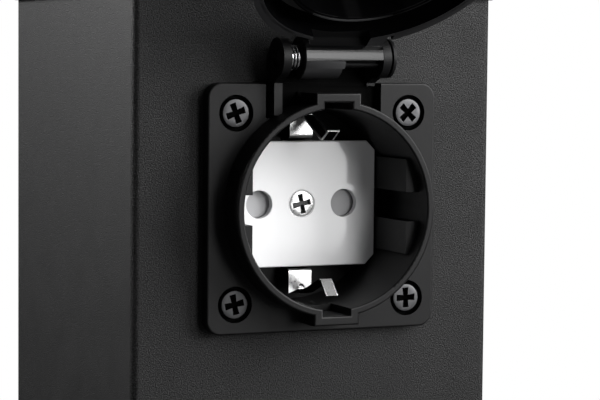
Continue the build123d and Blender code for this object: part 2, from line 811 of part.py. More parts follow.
terminal_screw_length = terminal_d - terminal_gap
terminal_screw = pan_screw(
    terminal_screw_head_r, terminal_screw_head_h, terminal_screw_r, terminal_screw_length
)
with BuildPart() as terminal_screws:
    for place in ((-pin_place, 0), (pin_place, 0), (0, earth_terminal_v)):
        with Locations(Location((*place, terminal_back - terminal_screw_head_h), (180, 0, 0))):
            add(terminal_screw)
terminal_screws.part.locate(outlet.location)
terminal_screws.part.label = "terminal_screws"
export_step(terminal_screws.part, "parts/terminal_screws.step")

# Rear cover over the terminals, with two screw bosses and a hole for the leads
with BuildPart() as rear_cover:
    with BuildSketch(Plane.XY.offset(carrier_back)):
        Circle(carrier_r)
    extrude(amount=-rear_depth)
    with BuildSketch(Plane.XY.offset(carrier_back)):
        Circle(carrier_r - rear_wall)
        with Locations((rear_screw_place, -rear_screw_place), (-rear_screw_place, -rear_screw_place)):
            Circle(rear_boss_r, mode=Mode.SUBTRACT)
    extrude(amount=rear_wall - rear_depth, mode=Mode.SUBTRACT)
    with BuildSketch(Plane.XY.offset(carrier_back)):
        with Locations((rear_screw_place, -rear_screw_place), (-rear_screw_place, -rear_screw_place)):
            Circle(rear_screw_r)
        with Locations((0, -(carrier_r - rear_wall - lead_hole_r))):
            Circle(lead_hole_r)
    extrude(amount=-rear_depth, mode=Mode.SUBTRACT)
rear_cover.part.locate(outlet.location)
rear_cover.part.label = "rear_cover"
export_step(rear_cover.part, "parts/rear_cover.step")

rear_back = carrier_back - rear_depth
rear_screw_length = rear_depth + rear_screw_reach
with BuildPart() as rear_cover_screws:
    for side in (-1, 1):
        screw_top = (side * rear_screw_place, -rear_screw_place, rear_back - rear_screw_head_h)
        with Locations(Location(screw_top, (180, 0, 0))):
            add(pan_screw(rear_screw_head_r, rear_screw_head_h, rear_screw_r, rear_screw_length))
rear_cover_screws.part.locate(outlet.location)
rear_cover_screws.part.label = "rear_cover_screws"
export_step(rear_cover_screws.part, "parts/rear_cover_screws.step")

# Hinge pin, fast in both ears
with BuildPart() as hinge_pin:
    with BuildSketch(Plane.YZ.offset(ear_outer - pin_recess)):
        with Locations((hinge_v, hinge_d)):
            Circle(pin_r)
    extrude(amount=-2 * (ear_outer - pin_recess))
hinge_pin.part.locate(outlet.location)
hinge_pin.part.label = "hinge_pin"
export_step(hinge_pin.part, "parts/hinge_pin.step")


# Hinge spring: a coil round the pin in the gap beside the left ear
def coil_point(angle):
    """Point of the wire's centre line after it has wound through an angle."""
    turned = pi - angle
    return Vector(
        coil_left + coil_pitch * angle / (2 * pi),
        hinge_v + coil_r * sin(turned),
        hinge_d + coil_r * cos(turned),
    )


def coil_tangent(angle):
    """Direction of the wire at the same place."""
    turned = pi - angle
    return Vector(coil_pitch / (2 * pi), -coil_r * cos(turned), coil_r * sin(turned)).normalized()


def biarc_joint(start, start_tangent, end, end_tangent):
    """Point where two arcs meet that leave start and reach end along the given tangents."""
    chord = end - start
    both = start_tangent + end_tangent
    along = chord.dot(both)
    square = 2 * (1 - start_tangent.dot(end_tangent))
    reach = (-along + (along * along + square * chord.dot(chord)) ** (1 / 2)) / square
    return (start + start_tangent * reach + end - end_tangent * reach) * (1 / 2)


coil_left = -ear_inner + coil_side_gap + coil_wire / 2
quarter = pi / 2
coil_quarters = 4 * coil_turns - 1
with BuildPart() as hinge_spring:
    with BuildLine() as coil_line:
        leg_top = coil_point(0)
        leg_start = leg_top - coil_tangent(0) * coil_leg
        Line(leg_start, leg_top)
        for step in range(coil_quarters):
            here, there = coil_point(step * quarter), coil_point((step + 1) * quarter)
            leaving, reaching = coil_tangent(step * quarter), coil_tangent((step + 1) * quarter)
            joint = biarc_joint(here, leaving, there, reaching)
            first = TangentArc(here, joint, tangent=leaving)
            TangentArc(joint, there, tangent=first % 1)
        coil_end = coil_point(coil_quarters * quarter)
        Line(coil_end, coil_end + coil_tangent(coil_quarters * quarter) * coil_wire)
    with BuildSketch(Plane(origin=leg_start, z_dir=coil_tangent(0))):
        Circle(coil_wire / 2)
    sweep()
hinge_spring.part.locate(outlet.location)
hinge_spring.part.label = "hinge_spring"
export_step(hinge_spring.part, "parts/hinge_spring.step")

coil_steps = 12
coil_samples = [coil_point(step * quarter / coil_steps) for step in range(coil_steps * coil_quarters + 1)]
coil_least = min(
    (coil_samples[i] - coil_samples[j]).length
    for i in range(len(coil_samples))
    for j in range(i + 2 * coil_steps, len(coil_samples))
)
print("hinge spring: least gap to itself %.3f mm" % (coil_least - coil_wire))
coil_length = sum(edge.length for edge in coil_line.edges())
coil_by_length = coil_length * pi * coil_wire * coil_wire / 4
print("hinge spring: volume %.2f, section by length %.2f" % (hinge_spring.part.volume, coil_by_length))

# Lid: a shallow round cap with a skirt, a ring that enters the well, a neck with a notch and a hinge
# barrel, drawn closed with the hinge at zero
barrel_length = barrel_right - barrel_left
step_place = Vector(0, -cos(open_turn), -sin(open_turn)) * (barrel_step_drop + barrel_r)
with BuildPart() as lid:
    with BuildSketch(Plane.XY):
        with Locations((0, -hinge_v)):
            Circle(lid_outer_r)
    extrude(amount=lid_height)
    fillet(lid.edges().group_by(Axis.Z)[-1], lid_edge_r)
    with BuildSketch(Plane.YZ.offset(barrel_left)):
        Circle(barrel_r)
    extrude(amount=barrel_length)
    chamfer(lid.edges().group_by(Axis.X)[0], barrel_chamfer)
    with BuildSketch(Plane.YZ.offset(barrel_left + barrel_chamfer)):
        Polygon(
            (0, 0),
            (0, barrel_r),
            (-(barrel_r + lid_edge_r), lid_height - lid_roof / 2),
            (-neck_depth, lid_height - lid_roof / 2),
            (-neck_depth, 0),
            align=None,
        )
    extrude(amount=barrel_length - barrel_chamfer)
    with BuildSketch(Plane.XY):
        with Locations((0, -hinge_v)):
            Circle(lid_inner_r)
    extrude(amount=roof_inside, mode=Mode.SUBTRACT)
    with BuildSketch(Plane.XY.offset(lid_plug_front)):
        with Locations((0, -hinge_v)):
            Circle(lid_plug_r)
            Circle(lid_plug_r - lid_plug_t, mode=Mode.SUBTRACT)
    extrude(amount=roof_inside - lid_plug_front)
    with BuildSketch(Plane.XY):
        with Locations((0, -(barrel_r + neck_depth) / 2)):
            Rectangle(2 * neck_notch_half, neck_depth - barrel_r)
    extrude(amount=neck_notch_depth, mode=Mode.SUBTRACT)
    with BuildSketch(Plane.YZ.offset(barrel_step_u)):
        with Locations(Location((step_place.Y, step_place.Z, 0), (0, 0, 90 - lid_open_angle))):
            Rectangle(2 * barrel_r, 2 * barrel_r)
    extrude(amount=barrel_length, mode=Mode.SUBTRACT)
    with BuildSketch(Plane.YZ.offset(barrel_left)):
        Circle(pin_r + running_gap)
    extrude(amount=barrel_length, mode=Mode.SUBTRACT)
lid.part.locate(open_lid.location)
lid.part.label = "lid"
export_step(lid.part, "parts/lid.step")

# Lid seal, which meets the collar's front when the lid is shut
with BuildPart() as lid_gasket:
    with BuildSketch(Plane.XY.offset(collar_front - hinge_d + lid_seal_gap)):
        with Locations((0, -hinge_v)):
            Circle(lid_seal_outer_r)
            Circle(lid_seal_inner_r, mode=Mode.SUBTRACT)
    extrude(amount=roof_inside - collar_front + hinge_d - lid_seal_gap)
lid_gasket.part.locate(open_lid.location)
lid_gasket.part.label = "lid_gasket"
export_step(lid_gasket.part, "parts/lid_gasket.step")
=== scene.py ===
import json
import math

import bmesh
import bpy
from bpy.props import FloatProperty, FloatVectorProperty, PointerProperty
from bpy.types import Operator, Panel, PropertyGroup
from mathutils import Euler, Matrix, Vector


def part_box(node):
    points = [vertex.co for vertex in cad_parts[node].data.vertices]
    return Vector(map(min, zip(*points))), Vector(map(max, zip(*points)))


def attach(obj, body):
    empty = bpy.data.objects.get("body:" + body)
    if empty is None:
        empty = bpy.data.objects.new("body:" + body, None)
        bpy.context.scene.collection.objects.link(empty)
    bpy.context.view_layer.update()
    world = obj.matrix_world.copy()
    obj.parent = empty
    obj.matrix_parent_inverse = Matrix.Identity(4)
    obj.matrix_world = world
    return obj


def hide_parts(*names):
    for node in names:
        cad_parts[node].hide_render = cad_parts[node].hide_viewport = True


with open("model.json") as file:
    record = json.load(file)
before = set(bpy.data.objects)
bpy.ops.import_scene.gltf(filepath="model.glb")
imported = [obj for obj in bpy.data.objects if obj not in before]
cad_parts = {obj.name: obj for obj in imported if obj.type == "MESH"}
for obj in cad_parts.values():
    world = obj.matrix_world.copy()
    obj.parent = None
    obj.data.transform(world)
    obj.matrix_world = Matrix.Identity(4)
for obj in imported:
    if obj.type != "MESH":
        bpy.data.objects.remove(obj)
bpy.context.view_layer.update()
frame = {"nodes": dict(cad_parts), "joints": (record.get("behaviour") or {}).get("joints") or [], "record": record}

bl_info = {
    "name": "Garden Socket Post",
    "version": (1, 0, 0),
    "blender": (4, 5, 0),
    "location": "View3D > Sidebar > Socket Post",
    "description": "Dresses a garden socket post: coated tube, lidded outlet, white cover and earth clip",
    "category": "Object",
}

MM = 0.001
QUARTER = math.pi / 2


# Places taken from the frame

def joint(name):
    """The joint of that name."""
    return next(j for j in frame["joints"] if j["name"] == name)


def shift(x, y, z):
    """Move in millimetres."""
    return Matrix.Translation(Vector((x, y, z)) * MM)


COVER_LOW, COVER_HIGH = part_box("contact_cover")
FACE_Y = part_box("post_tube")[0].y
OUTLET_Z = (COVER_LOW.z + COVER_HIGH.z) / 2
OUTLET_CENTRE = Vector((0, FACE_Y, OUTLET_Z))
LID_TURN = math.radians(joint("lid_hinge")["range_deg"][1])
HINGE = Vector(joint("lid_hinge")["pos_m"])
# The outlet's own frame: x to the right, y up, z straight out of the post's front face
OUTLET = Matrix.Translation(OUTLET_CENTRE) @ Matrix.Rotation(QUARTER, 4, "X")
# The open lid's frame: the outlet's, moved to the hinge and turned open about it
LID = Matrix.Translation(HINGE) @ Matrix.Rotation(QUARTER - LID_TURN, 4, "X")
# The middle of the open lid, and the outlet's frame moved to the hinge
LID_MIDDLE = LID @ shift(0, (OUTLET_Z - HINGE.z) / MM, 0)
AT_HINGE = OUTLET @ shift(0, (HINGE.z - OUTLET_Z) / MM, (FACE_Y - HINGE.y) / MM)
# A frame whose z axis runs along the hinge, to the right
ALONG_HINGE = Matrix.Rotation(QUARTER, 4, "Y")


# Sizes in millimetres, x, y and z in the frame of the outlet, the hinge or the lid

# Pocket in the flange behind the hinge, and the thin backing above it, both painted dark as painted shade
COLLAR_R, BUMP_HALF, BUMP_REACH = 21.5, 4.9, 23.1
POCKET_GAP = 0.1
POCKET_LEFT, POCKET_RIGHT, POCKET_TOP = 9.9, 12.65, 24.4
POCKET_FLOOR, POCKET_MOUTH = 0.6, 2.2
BACKING_LEFT, BACKING_RIGHT, BACKING_LOW, BACKING_HIGH = -9.9, 10.1, 24.2, 33.0
BACKING_BACK, BACKING_FRONT = 0.02, 0.8

# Disc on the right ear, with a groove behind it
DISC_IN, DISC_BACK, DISC_OUT = 11.5, 12.15, 12.95
GROOVE_R, DISC_R, DISC_FACE_R = 3.3, 3.95, 3.7
DISC_SLOPE, DISC_ROUND = 0.1, 0.15

# Painted shade in the flange: the pocket and the screws' counterbores are painted dark where shade falls
CAVITY_LOW, CAVITY_HIGH, CAVITY_MOUTH = 12.0, 34.0, 1.3
COUNTERBORE_R, COUNTERBORE_MOUTH = 3.95, 3.05

# Screws with a cross recess; the recess, and the flange screws' head beyond its dark rim, are painted dark as
# painted shade
HEAD_R = 2.95
FLANGE_SCREW = {
    "radius": HEAD_R, "height": 1.45, "edge": 0.3, "shank_r": 1.6, "shank": 9.0,
    "reach": 2.15, "width": 1.15, "depth": 1.3, "dark_rim": 2.5,
}
COVER_SCREW = {
    "radius": 2.7, "height": 1.5, "edge": 0.2, "shank_r": 1.25, "shank": 14.0,
    "reach": 2.15, "width": 1.0, "depth": 1.2, "crown": 0.04, "countersunk": True, "painted_shade": 0.86,
}
# Each flange screw's side and how far its recess is turned, in degrees
FLANGE_SCREW_TURNS = (((-1, 1), 20), ((1, 1), 45), ((-1, -1), 12), ((1, -1), 2))
COVER_SCREW_TURN = 12
CROWN_SHARE, CROWN_FALL = 0.55, 0.03
ARM_FLARE_SHARE, RECESS_TAPER_SHARE, RECESS_REACH_SHARE = 0.62, 0.8, 1.05
RECESS_OVERRUN, RECESS_RIM, RECESS_SLACK = 0.4, 0.2, 0.05
ROUNDED_FROM = 75

# Earth clip: one strip with a pad and a thin spring at either end
CLIP_END, CLIP_STEP, CLIP_PAD, CLIP_BASE = 18.5, 13.8, -8.3, -12.2
CLIP_SHEET, CLIP_HALF, CLIP_BEND = 0.6, 2.6, 0.5
DIMPLE_R, DIMPLE_PLACE, DIMPLE_SIDES, DIMPLE_RINGS = 1.1, (0.19, -17.3, -7.2), 24, 16
SPRING_FOOT, SPRING_HEEL, SPRING_PAD = 17.2, 18.7, -8.25
# Each spring's side, and how far from the middle its bend and its lip lie
SPRING_SIDES = ((1, 13.55, 15.5), (-1, 14.6, 17.7))
SPRING_APEX_OUT, SPRING_LIP_OUT = 2.5, 5.5
SPRING_SHEET, SPRING_LEFT, SPRING_RIGHT, SPRING_BEND, SPRING_BORDER = 0.36, -0.35, 2.3, 0.9, 0.3
WIDE_FACING = 0.5
# Where the clip is painted dark as a painted reflection of the dark well
DARK_RIGHT, DARK_OUT, DARK_LOW_OUT = 1.95, 5.35, 2.0
DARK_DEEP, DARK_PAD = -8.7, -8.0
DARK_LOW_LEVEL = 0.75

# Notch under the right half of the lid's barrel, round its core
BARREL_R = 4.2
NOTCH_LEFT, NOTCH_RIGHT, NOTCH_TOP, NOTCH_REACH = 1.5, 9.9, -0.45, 6.0
CORE_R, CORE_IN, CORE_OUT = 2.2, 0.5, 10.9

# Square rim and inner bead of the lid
RIM_R, RIM_INNER_R, RIM_SHIFT, RIM_HEIGHT = 25.4, 24.2, 0.8, 1.5
RIM_GAP_HALF, RIM_GAP_NEAR, RIM_GAP_FAR = 11, 15, 30
RIM_CUT_LOW, RIM_CUT_HIGH, RIM_STEPS = -1.0, 3.0, 144
BEAD_INNER_R, BEAD_OUTER_R, BEAD_LOW, BEAD_HIGH = 18.6, 19.0, 0.9, 1.4

# Zones of the lid's finish: lengths in millimetres, and the z part of a face's direction
INSIDE_LOW, INSIDE_FACING = 0.2, 0.9
RIM_FACE_HIGH, RIM_FACING = 0.5, -0.9
NEAR_HALF, NEAR_REACH = 9, 14
BEAD_SLACK, BEAD_PALE_HIGH = 0.1, 1.35
LIP_HIGH, LIP_FACING_LOW, LIP_FACING_HIGH = 2.2, -0.95, -0.15
HOLLOW_LEFT, HOLLOW_R = 1.4, 3.5
BARREL_SLACK, BARREL_UNDER = 0.1, -0.9
# The lip's painted highlight fades across and further in; the rim takes half the pale edge colour as a painted lit
# band
FADE_HALF, FADE_STEP, FADE_FAR, FADE_RIM = 8.5, 1.5, 0.8, 0.5
# Each zone's share of roughness, of gloss and of the edge's pale colour, which is painted light on the rim, the
# lip and the barrel's underside
POLISHED, SHINY, SATIN, UNDERSIDE = (0, 0, 0, 1), (0.35, 1, 0, 1), (1, 0.3, 0, 1), (1, 1, 0.2, 1)
EDGE_ROUGH, EDGE_GLOSS = 1, 0.3

# Hinge spring
COIL_LEFT = -9.62
COIL = {"radius": 2.3, "wire": 0.55, "pitch": 0.72, "turns": 3.25, "leg": 5.0}
WIRE_SIDES, TURN_STEPS = 12, 28

# Merging and shading
MERGE_GAP, SPUN_MERGE_GAP = 0.002, 0.001
FLAT_ANGLE, SHARP_ANGLE, BEVEL_ANGLE = 0.3, 35.0, 40.0
SPUN_STEPS, HEAD_STEPS, FINE_STEPS, ARC_STEPS = 64, 48, 8, 4


# Finishes: textures in metres, the rest as shares

FLOW_SIZE, FLOW_STRETCH = 0.012, (1, 1, 0.4)
MOULDING_GRAIN, MOULDING_DEPTH = 0.00018, 0.000006
LID_GRAIN, LID_DEPTH, LID_SHADE = 0.0002, 0.000003, 0.8
WHITE_GRAIN, WHITE_DEPTH = 0.0003, 0.0000005
COAT_CLOUDS, COAT_TONES, COAT_GLOSS = 40, (0.38, 0.68), (0.10, 0.36)
ROUGHNESS_DOWN, ROUGHNESS_UP = 0.04, 0.05
# Colour and gloss of the painted shade in the flange's cavities
CAVITY_SHADE_COLOUR, CAVITY_GLOSS = (0.0007, 0.0007, 0.0007), 0.02
# Colour of the painted shade in the screws' recesses and of the clip's painted reflection of the dark well
PAINTED_SHADE_COLOUR = (0.002, 0.002, 0.002)
ZONE_GLOSS = (0.12, 0.5)
CLOUD_SIZE, SCRATCH_SIZE, SCRATCH_DEPTH, SCRATCH_STRETCH = 0.004, 0.0008, 0.000002, (1, 1, 0.15)
WEAR_SIZE, STEEL_DEPTH, NICKEL_DEPTH = 0.0004, 0.000004, 0.0000002
SCRATCH_ROUGHNESS_SHARES, WEAR_ROUGHNESS_SHARES = (0.75, 1.35), (0.8, 1.3)
DUST_SIZE, DUST_DEPTH, DUST_SHARE, RUBBER_ROUGHNESS = 0.0005, 0.00002, 1.6, 0.72
# Colour attributes that a finish reads: painted shade in the flange's cavities, painted shade and painted
# reflection on the screws and clip, and the lid's zones with their painted light; and the colour sockets of a mix
# node
CAVITY, RECESS, ZONE = "cavity", "recess", "zone"
MIX_ONE, MIX_OTHER, MIX_RESULT = 6, 7, 2


# Stage: degrees to the right of straight out and up, then width and height in metres

LAMP_DISTANCE = 0.9
KEY, FILL, SIDE = (56, 25, 0.50, 0.8), (21, 34, 0.28, 1.5), (-40, -8, 0.32, 0.32)
RIM_LAMP_PLACE, RIM_LAMP_AIM, RIM_LAMP_SIZE = (-0.21, 0.11, 0.37), (-0.04, 0, OUTLET_Z), 0.12
SENSOR_WIDTH, CLIP_START, CLIP_STOP = 36, 0.01, 50
# The side of the room that gloss mirrors as white, and where that white begins and is full
BACKDROP_SIDE = (0.35, 0.93, 0.0)
ROOM_WHITE, FLOOR_WHITE = (0.55, 1.0), (2.0, 4.0)
# How far from the post the floor begins to lose its shadow, and is plain white
FLOOR_CLEAR = (0.2, 0.6)
FLOOR_DARK, FLOOR_PALE, FLOOR_ROUGHNESS = (0.06, 0.06, 0.06), (0.86, 0.86, 0.86), 0.9
WHITE = (1, 1, 1, 1)


# Settings

COLOUR = {"subtype": "COLOR", "size": 3, "min": 0, "max": 1}
LENGTH = {"subtype": "DISTANCE", "unit": "LENGTH", "min": 0}
ANGLE = {"subtype": "ANGLE", "unit": "ROTATION"}
POWER = {"unit": "POWER", "min": 0}


class CoatSettings(PropertyGroup):
    """Finish of the coated metal."""

    colour: FloatVectorProperty(
        name="Coat colour", description="Colour of the textured coat between its grains",
        default=(0.0016, 0.0016, 0.0017), **COLOUR,
    )
    grain_colour: FloatVectorProperty(
        name="Grain colour", description="Colour of the coat on top of its grains",
        default=(0.0080, 0.0080, 0.0082), **COLOUR,
    )
    grain: FloatProperty(
        name="Grain", description="Size of one grain of the textured coat",
        subtype="DISTANCE", unit="LENGTH", min=0.0001, default=0.00025,
    )
    grain_depth: FloatProperty(
        name="Grain depth", description="How far the grains stand proud",
        default=0.0001, **LENGTH,
    )
    roughness: FloatProperty(
        name="Roughness", description="Roughness of the coat", subtype="FACTOR", min=0, max=1, default=0.58,
    )


class MouldingSettings(PropertyGroup):
    """Colours of the mouldings and the seals."""

    black: FloatVectorProperty(
        name="Flange colour", description="Colour of the flange moulding",
        default=(0.0028, 0.0028, 0.0031), **COLOUR,
    )
    lid: FloatVectorProperty(
        name="Lid colour", description="Colour of the lid",
        default=(0.0016, 0.0016, 0.0018), **COLOUR,
    )
    # The pale edge colour is painted light: a lit band on the lid's rim, a highlight arc on its lip and light
    # under its barrel
    lid_painted_light: FloatVectorProperty(
        name="Lid edge colour", description="Colour of the lid's pale rim and lip",
        default=(0.05, 0.05, 0.052), **COLOUR,
    )
    white: FloatVectorProperty(
        name="Cover colour", description="Colour of the white contact cover",
        default=(0.82, 0.82, 0.83), **COLOUR,
    )
    shutter: FloatVectorProperty(
        name="Shutter colour", description="Colour of the shutter behind the pin holes",
        default=(0.42, 0.42, 0.43), **COLOUR,
    )
    carrier: FloatVectorProperty(
        name="Carrier colour", description="Colour of the contact carrier, rear cover and strain relief",
        default=(0.10, 0.10, 0.105), **COLOUR,
    )
    seal: FloatVectorProperty(
        name="Seal colour", description="Colour of the seals and the cable grommet",
        default=(0.012, 0.012, 0.012), **COLOUR,
    )


class MetalSettings(PropertyGroup):
    """Colours of the bare metals."""

    nickel: FloatVectorProperty(
        name="Nickel", description="Colour of the earth clip and the cover screw",
        default=(0.86, 0.86, 0.86), **COLOUR,
    )
    screw_steel: FloatVectorProperty(
        name="Screw steel", description="Colour of the dark screws, the flange nuts and the hinge pin",
        default=(0.085, 0.085, 0.088), **COLOUR,
    )
    brass: FloatVectorProperty(
        name="Brass", description="Colour of the contacts, the earth terminal and the earth stud",
        default=(0.78, 0.60, 0.30), **COLOUR,
    )
    spring_steel: FloatVectorProperty(
        name="Spring steel", description="Colour of the hinge spring and the shutter spring",
        default=(0.62, 0.62, 0.63), **COLOUR,
    )


class EdgeSettings(PropertyGroup):
    """How far the edges of the pieces in the picture are rounded."""

    flange: FloatProperty(
        name="Flange edge", description="Rounding of the flange's edges",
        default=0.0002, **LENGTH,
    )
    lid: FloatProperty(
        name="Lid edge", description="Rounding of the lid's edges",
        default=0.0002, **LENGTH,
    )
    cover: FloatProperty(
        name="Cover edge", description="Rounding of the contact cover's edges",
        default=0.0003, **LENGTH,
    )
    clip: FloatProperty(
        name="Clip edge", description="Rounding of the earth clip's edges",
        default=0.0001, **LENGTH,
    )


class StageSettings(PropertyGroup):
    """Camera, lamps and floor."""

    camera_place: FloatVectorProperty(
        name="Camera place", description="Camera from the outlet's centre: right, up and out",
        subtype="TRANSLATION", unit="LENGTH", size=3, default=(-0.17846, 0.03122, 0.39113),
    )
    yaw: FloatProperty(
        name="Yaw", description="Camera turned about the vertical",
        default=math.radians(-24.069), **ANGLE,
    )
    pitch: FloatProperty(
        name="Pitch", description="Camera tipped below the horizontal",
        default=math.radians(-3.988), **ANGLE,
    )
    roll: FloatProperty(
        name="Roll", description="Camera turned about its own axis",
        default=math.radians(0.54), **ANGLE,
    )
    lens: FloatProperty(
        name="Lens", description="Focal length in millimetres on a 36 mm sensor",
        subtype="DISTANCE_CAMERA", min=1, default=127.67,
    )
    key_power: FloatProperty(
        name="Key power", description="Power of the soft lamp on the right, in watts",
        default=19.0, **POWER,
    )
    fill_power: FloatProperty(
        name="Fill power", description="Power of the soft lamp in front, in watts",
        default=8.4, **POWER,
    )
    side_power: FloatProperty(
        name="Side power", description="Power of the soft lamp on the left, in watts",
        default=0.6, **POWER,
    )
    rim_power: FloatProperty(
        name="Rim power", description="Power of the soft lamp behind on the left, in watts",
        default=1.9, **POWER,
    )
    ambient: FloatProperty(
        name="Ambient", description="Light from the room", min=0, default=0.004,
    )
    floor_size: FloatProperty(
        name="Floor size", description="Width of the floor",
        subtype="DISTANCE", unit="LENGTH", min=1, default=12.0,
    )


def coat():
    """Settings of the coat."""
    return bpy.context.scene.socket_post_coat


def mouldings():
    """Colours of the mouldings."""
    return bpy.context.scene.socket_post_mouldings


def metals():
    """Colours of the metals."""
    return bpy.context.scene.socket_post_metals


def edges():
    """Roundings of the edges."""
    return bpy.context.scene.socket_post_edges


def stage():
    """Settings of the stage."""
    return bpy.context.scene.socket_post_stage


# Nodes of the materials

def new_material(name):
    """An empty material, its tree, its shader and its object coordinates."""
    material = bpy.data.materials.new(name)
    material.use_nodes = True
    tree = material.node_tree
    tree.nodes.clear()
    output = tree.nodes.new("ShaderNodeOutputMaterial")
    shader = tree.nodes.new("ShaderNodeBsdfPrincipled")
    tree.links.new(shader.outputs["BSDF"], output.inputs["Surface"])
    coordinates = tree.nodes.new("ShaderNodeTexCoord")
    return material, tree, shader, coordinates.outputs["Object"]


def noise(tree, place, size, detail=2.0, roughness=0.5):
    """Noise whose features are about that size."""
    node = tree.nodes.new("ShaderNodeTexNoise")
    node.inputs["Scale"].default_value = 1 / size
    node.inputs["Detail"].default_value = detail
    node.inputs["Roughness"].default_value = roughness
    tree.links.new(place, node.inputs["Vector"])
    return node.outputs["Fac"]


def stretched(tree, place, scale):
    """Object coordinates scaled along each axis."""
    node = tree.nodes.new("ShaderNodeMapping")
    node.inputs["Scale"].default_value = scale
    tree.links.new(place, node.inputs["Vector"])
    return node.outputs["Vector"]


def ramp(tree, factor, low, high, start=0.35, stop=0.65):
    """Colour that runs from low to high as the factor runs from start to stop."""
    node = tree.nodes.new("ShaderNodeValToRGB")
    for element, position, colour in zip(node.color_ramp.elements, (start, stop), (low, high)):
        element.position = position
        element.color = (*colour, 1)
    tree.links.new(factor, node.inputs["Fac"])
    return node.outputs["Color"]


def spread(tree, factor, low, high, start=0.3, stop=0.7):
    """Number that runs from low to high as the factor runs from start to stop."""
    node = tree.nodes.new("ShaderNodeMapRange")
    for socket, number in (("From Min", start), ("From Max", stop), ("To Min", low), ("To Max", high)):
        node.inputs[socket].default_value = number
    tree.links.new(factor, node.inputs["Value"])
    return node.outputs["Result"]


def painted(tree, layer):
    """What the colour attribute of that name says."""
    node = tree.nodes.new("ShaderNodeVertexColor")
    node.layer_name = layer
    return node.outputs["Color"]


def mixed(tree, factor, one, other):
    """One colour where the factor is nought, the other where it is one; the other may be a plain colour."""
    node = tree.nodes.new("ShaderNodeMix")
    node.data_type = "RGBA"
    tree.links.new(factor, node.inputs["Factor"])
    tree.links.new(one, node.inputs[MIX_ONE])
    if isinstance(other, tuple):
        node.inputs[MIX_OTHER].default_value = (*other, 1)
    else:
        tree.links.new(other, node.inputs[MIX_OTHER])
    return node.outputs[MIX_RESULT]


def arithmetic(tree, operation, one, other):
    """Two numbers put together by one operation, the first an output or a plain number."""
    node = tree.nodes.new("ShaderNodeMath")
    node.operation = operation
    if isinstance(one, float):
        node.inputs[0].default_value = one
    else:
        tree.links.new(one, node.inputs[0])
    tree.links.new(other, node.inputs[1])
    return node.outputs[0]


def dot(tree, vector, direction):
    """How far a vector runs along a direction."""
    node = tree.nodes.new("ShaderNodeVectorMath")
    node.operation = "DOT_PRODUCT"
    node.inputs[1].default_value = direction
    tree.links.new(vector, node.inputs[0])
    return node.outputs["Value"]


def bump(tree, shader, height, depth):
    """Bump of that depth."""
    node = tree.nodes.new("ShaderNodeBump")
    node.inputs["Strength"].default_value = 1.0
    node.inputs["Distance"].default_value = depth
    tree.links.new(height, node.inputs["Height"])
    tree.links.new(node.outputs["Normal"], shader.inputs["Normal"])


def scaled(values, share):
    """Each of the values times a share."""
    return tuple(share * v for v in values)


# Materials

def textured_coat(name):
    """Fine grained charcoal powder coat."""
    settings = coat()
    material, tree, shader, place = new_material(name)
    grains = noise(tree, place, settings.grain, detail=1.0)
    clouds = noise(tree, place, COAT_CLOUDS * settings.grain)
    tone = ramp(tree, grains, settings.colour, settings.grain_colour, *COAT_TONES)
    tree.links.new(tone, shader.inputs["Base Color"])
    low, high = settings.roughness - ROUGHNESS_DOWN, settings.roughness + ROUGHNESS_UP
    tree.links.new(spread(tree, clouds, low, high), shader.inputs["Roughness"])
    tree.links.new(spread(tree, grains, *COAT_GLOSS), shader.inputs["Specular IOR Level"])
    bump(tree, shader, grains, settings.grain_depth)
    return material


def moulding(name, colour, roughness, grain=MOULDING_GRAIN, depth=MOULDING_DEPTH, shade=0.85, gloss=0.5,
             cavity_shade=False):
    """Moulded plastic with a fine eroded skin and slight flow marks, with painted shade in its cavities where
    asked.
    """
    material, tree, shader, place = new_material(name)
    skin = noise(tree, place, grain)
    flow = noise(tree, stretched(tree, place, FLOW_STRETCH), FLOW_SIZE, detail=3.0)
    tone = ramp(tree, flow, scaled(colour, shade), colour)
    shader.inputs["Specular IOR Level"].default_value = gloss
    if cavity_shade:
        cavity = painted(tree, CAVITY)
        tone = mixed(tree, cavity, tone, CAVITY_SHADE_COLOUR)
        level = spread(tree, cavity, gloss, CAVITY_GLOSS, 0, 1)
        tree.links.new(level, shader.inputs["Specular IOR Level"])
    tree.links.new(tone, shader.inputs["Base Color"])
    tree.links.new(spread(tree, flow, roughness, roughness + ROUGHNESS_UP), shader.inputs["Roughness"])
    bump(tree, shader, skin, depth)
    return material


def zoned_moulding(name, polished, satin):
    """Plastic of the lid, whose zones say where it is satin, shines or has painted light in a paler edge colour.
    """
    material, tree, shader, place = new_material(name)
    flow = noise(tree, stretched(tree, place, FLOW_STRETCH), FLOW_SIZE, detail=3.0)
    skin = noise(tree, place, LID_GRAIN)
    zone = tree.nodes.new("ShaderNodeSeparateColor")
    tree.links.new(painted(tree, ZONE), zone.inputs["Color"])
    colours = mouldings().lid, mouldings().lid_painted_light
    plain, edge = (ramp(tree, flow, scaled(colour, LID_SHADE), colour) for colour in colours)
    tree.links.new(mixed(tree, zone.outputs["Blue"], plain, edge), shader.inputs["Base Color"])
    roughness = spread(tree, zone.outputs["Red"], polished, satin, 0, 1)
    tree.links.new(roughness, shader.inputs["Roughness"])
    gloss = spread(tree, zone.outputs["Green"], *ZONE_GLOSS, 0, 1)
    tree.links.new(gloss, shader.inputs["Specular IOR Level"])
    bump(tree, shader, skin, LID_DEPTH)
    return material


def metal(name, colour, roughness, shade=0.8):
    """Plated or drawn metal with fine handling marks."""
    material, tree, shader, place = new_material(name)
    shader.inputs["Metallic"].default_value = 1.0
    marks = noise(tree, stretched(tree, place, SCRATCH_STRETCH), SCRATCH_SIZE, detail=4.0, roughness=0.7)
    cloud = noise(tree, place, CLOUD_SIZE)
    tree.links.new(ramp(tree, cloud, scaled(colour, shade), colour), shader.inputs["Base Color"])
    roughnesses = scaled(SCRATCH_ROUGHNESS_SHARES, roughness)
    tree.links.new(spread(tree, marks, *roughnesses), shader.inputs["Roughness"])
    bump(tree, shader, marks, SCRATCH_DEPTH)
    return material


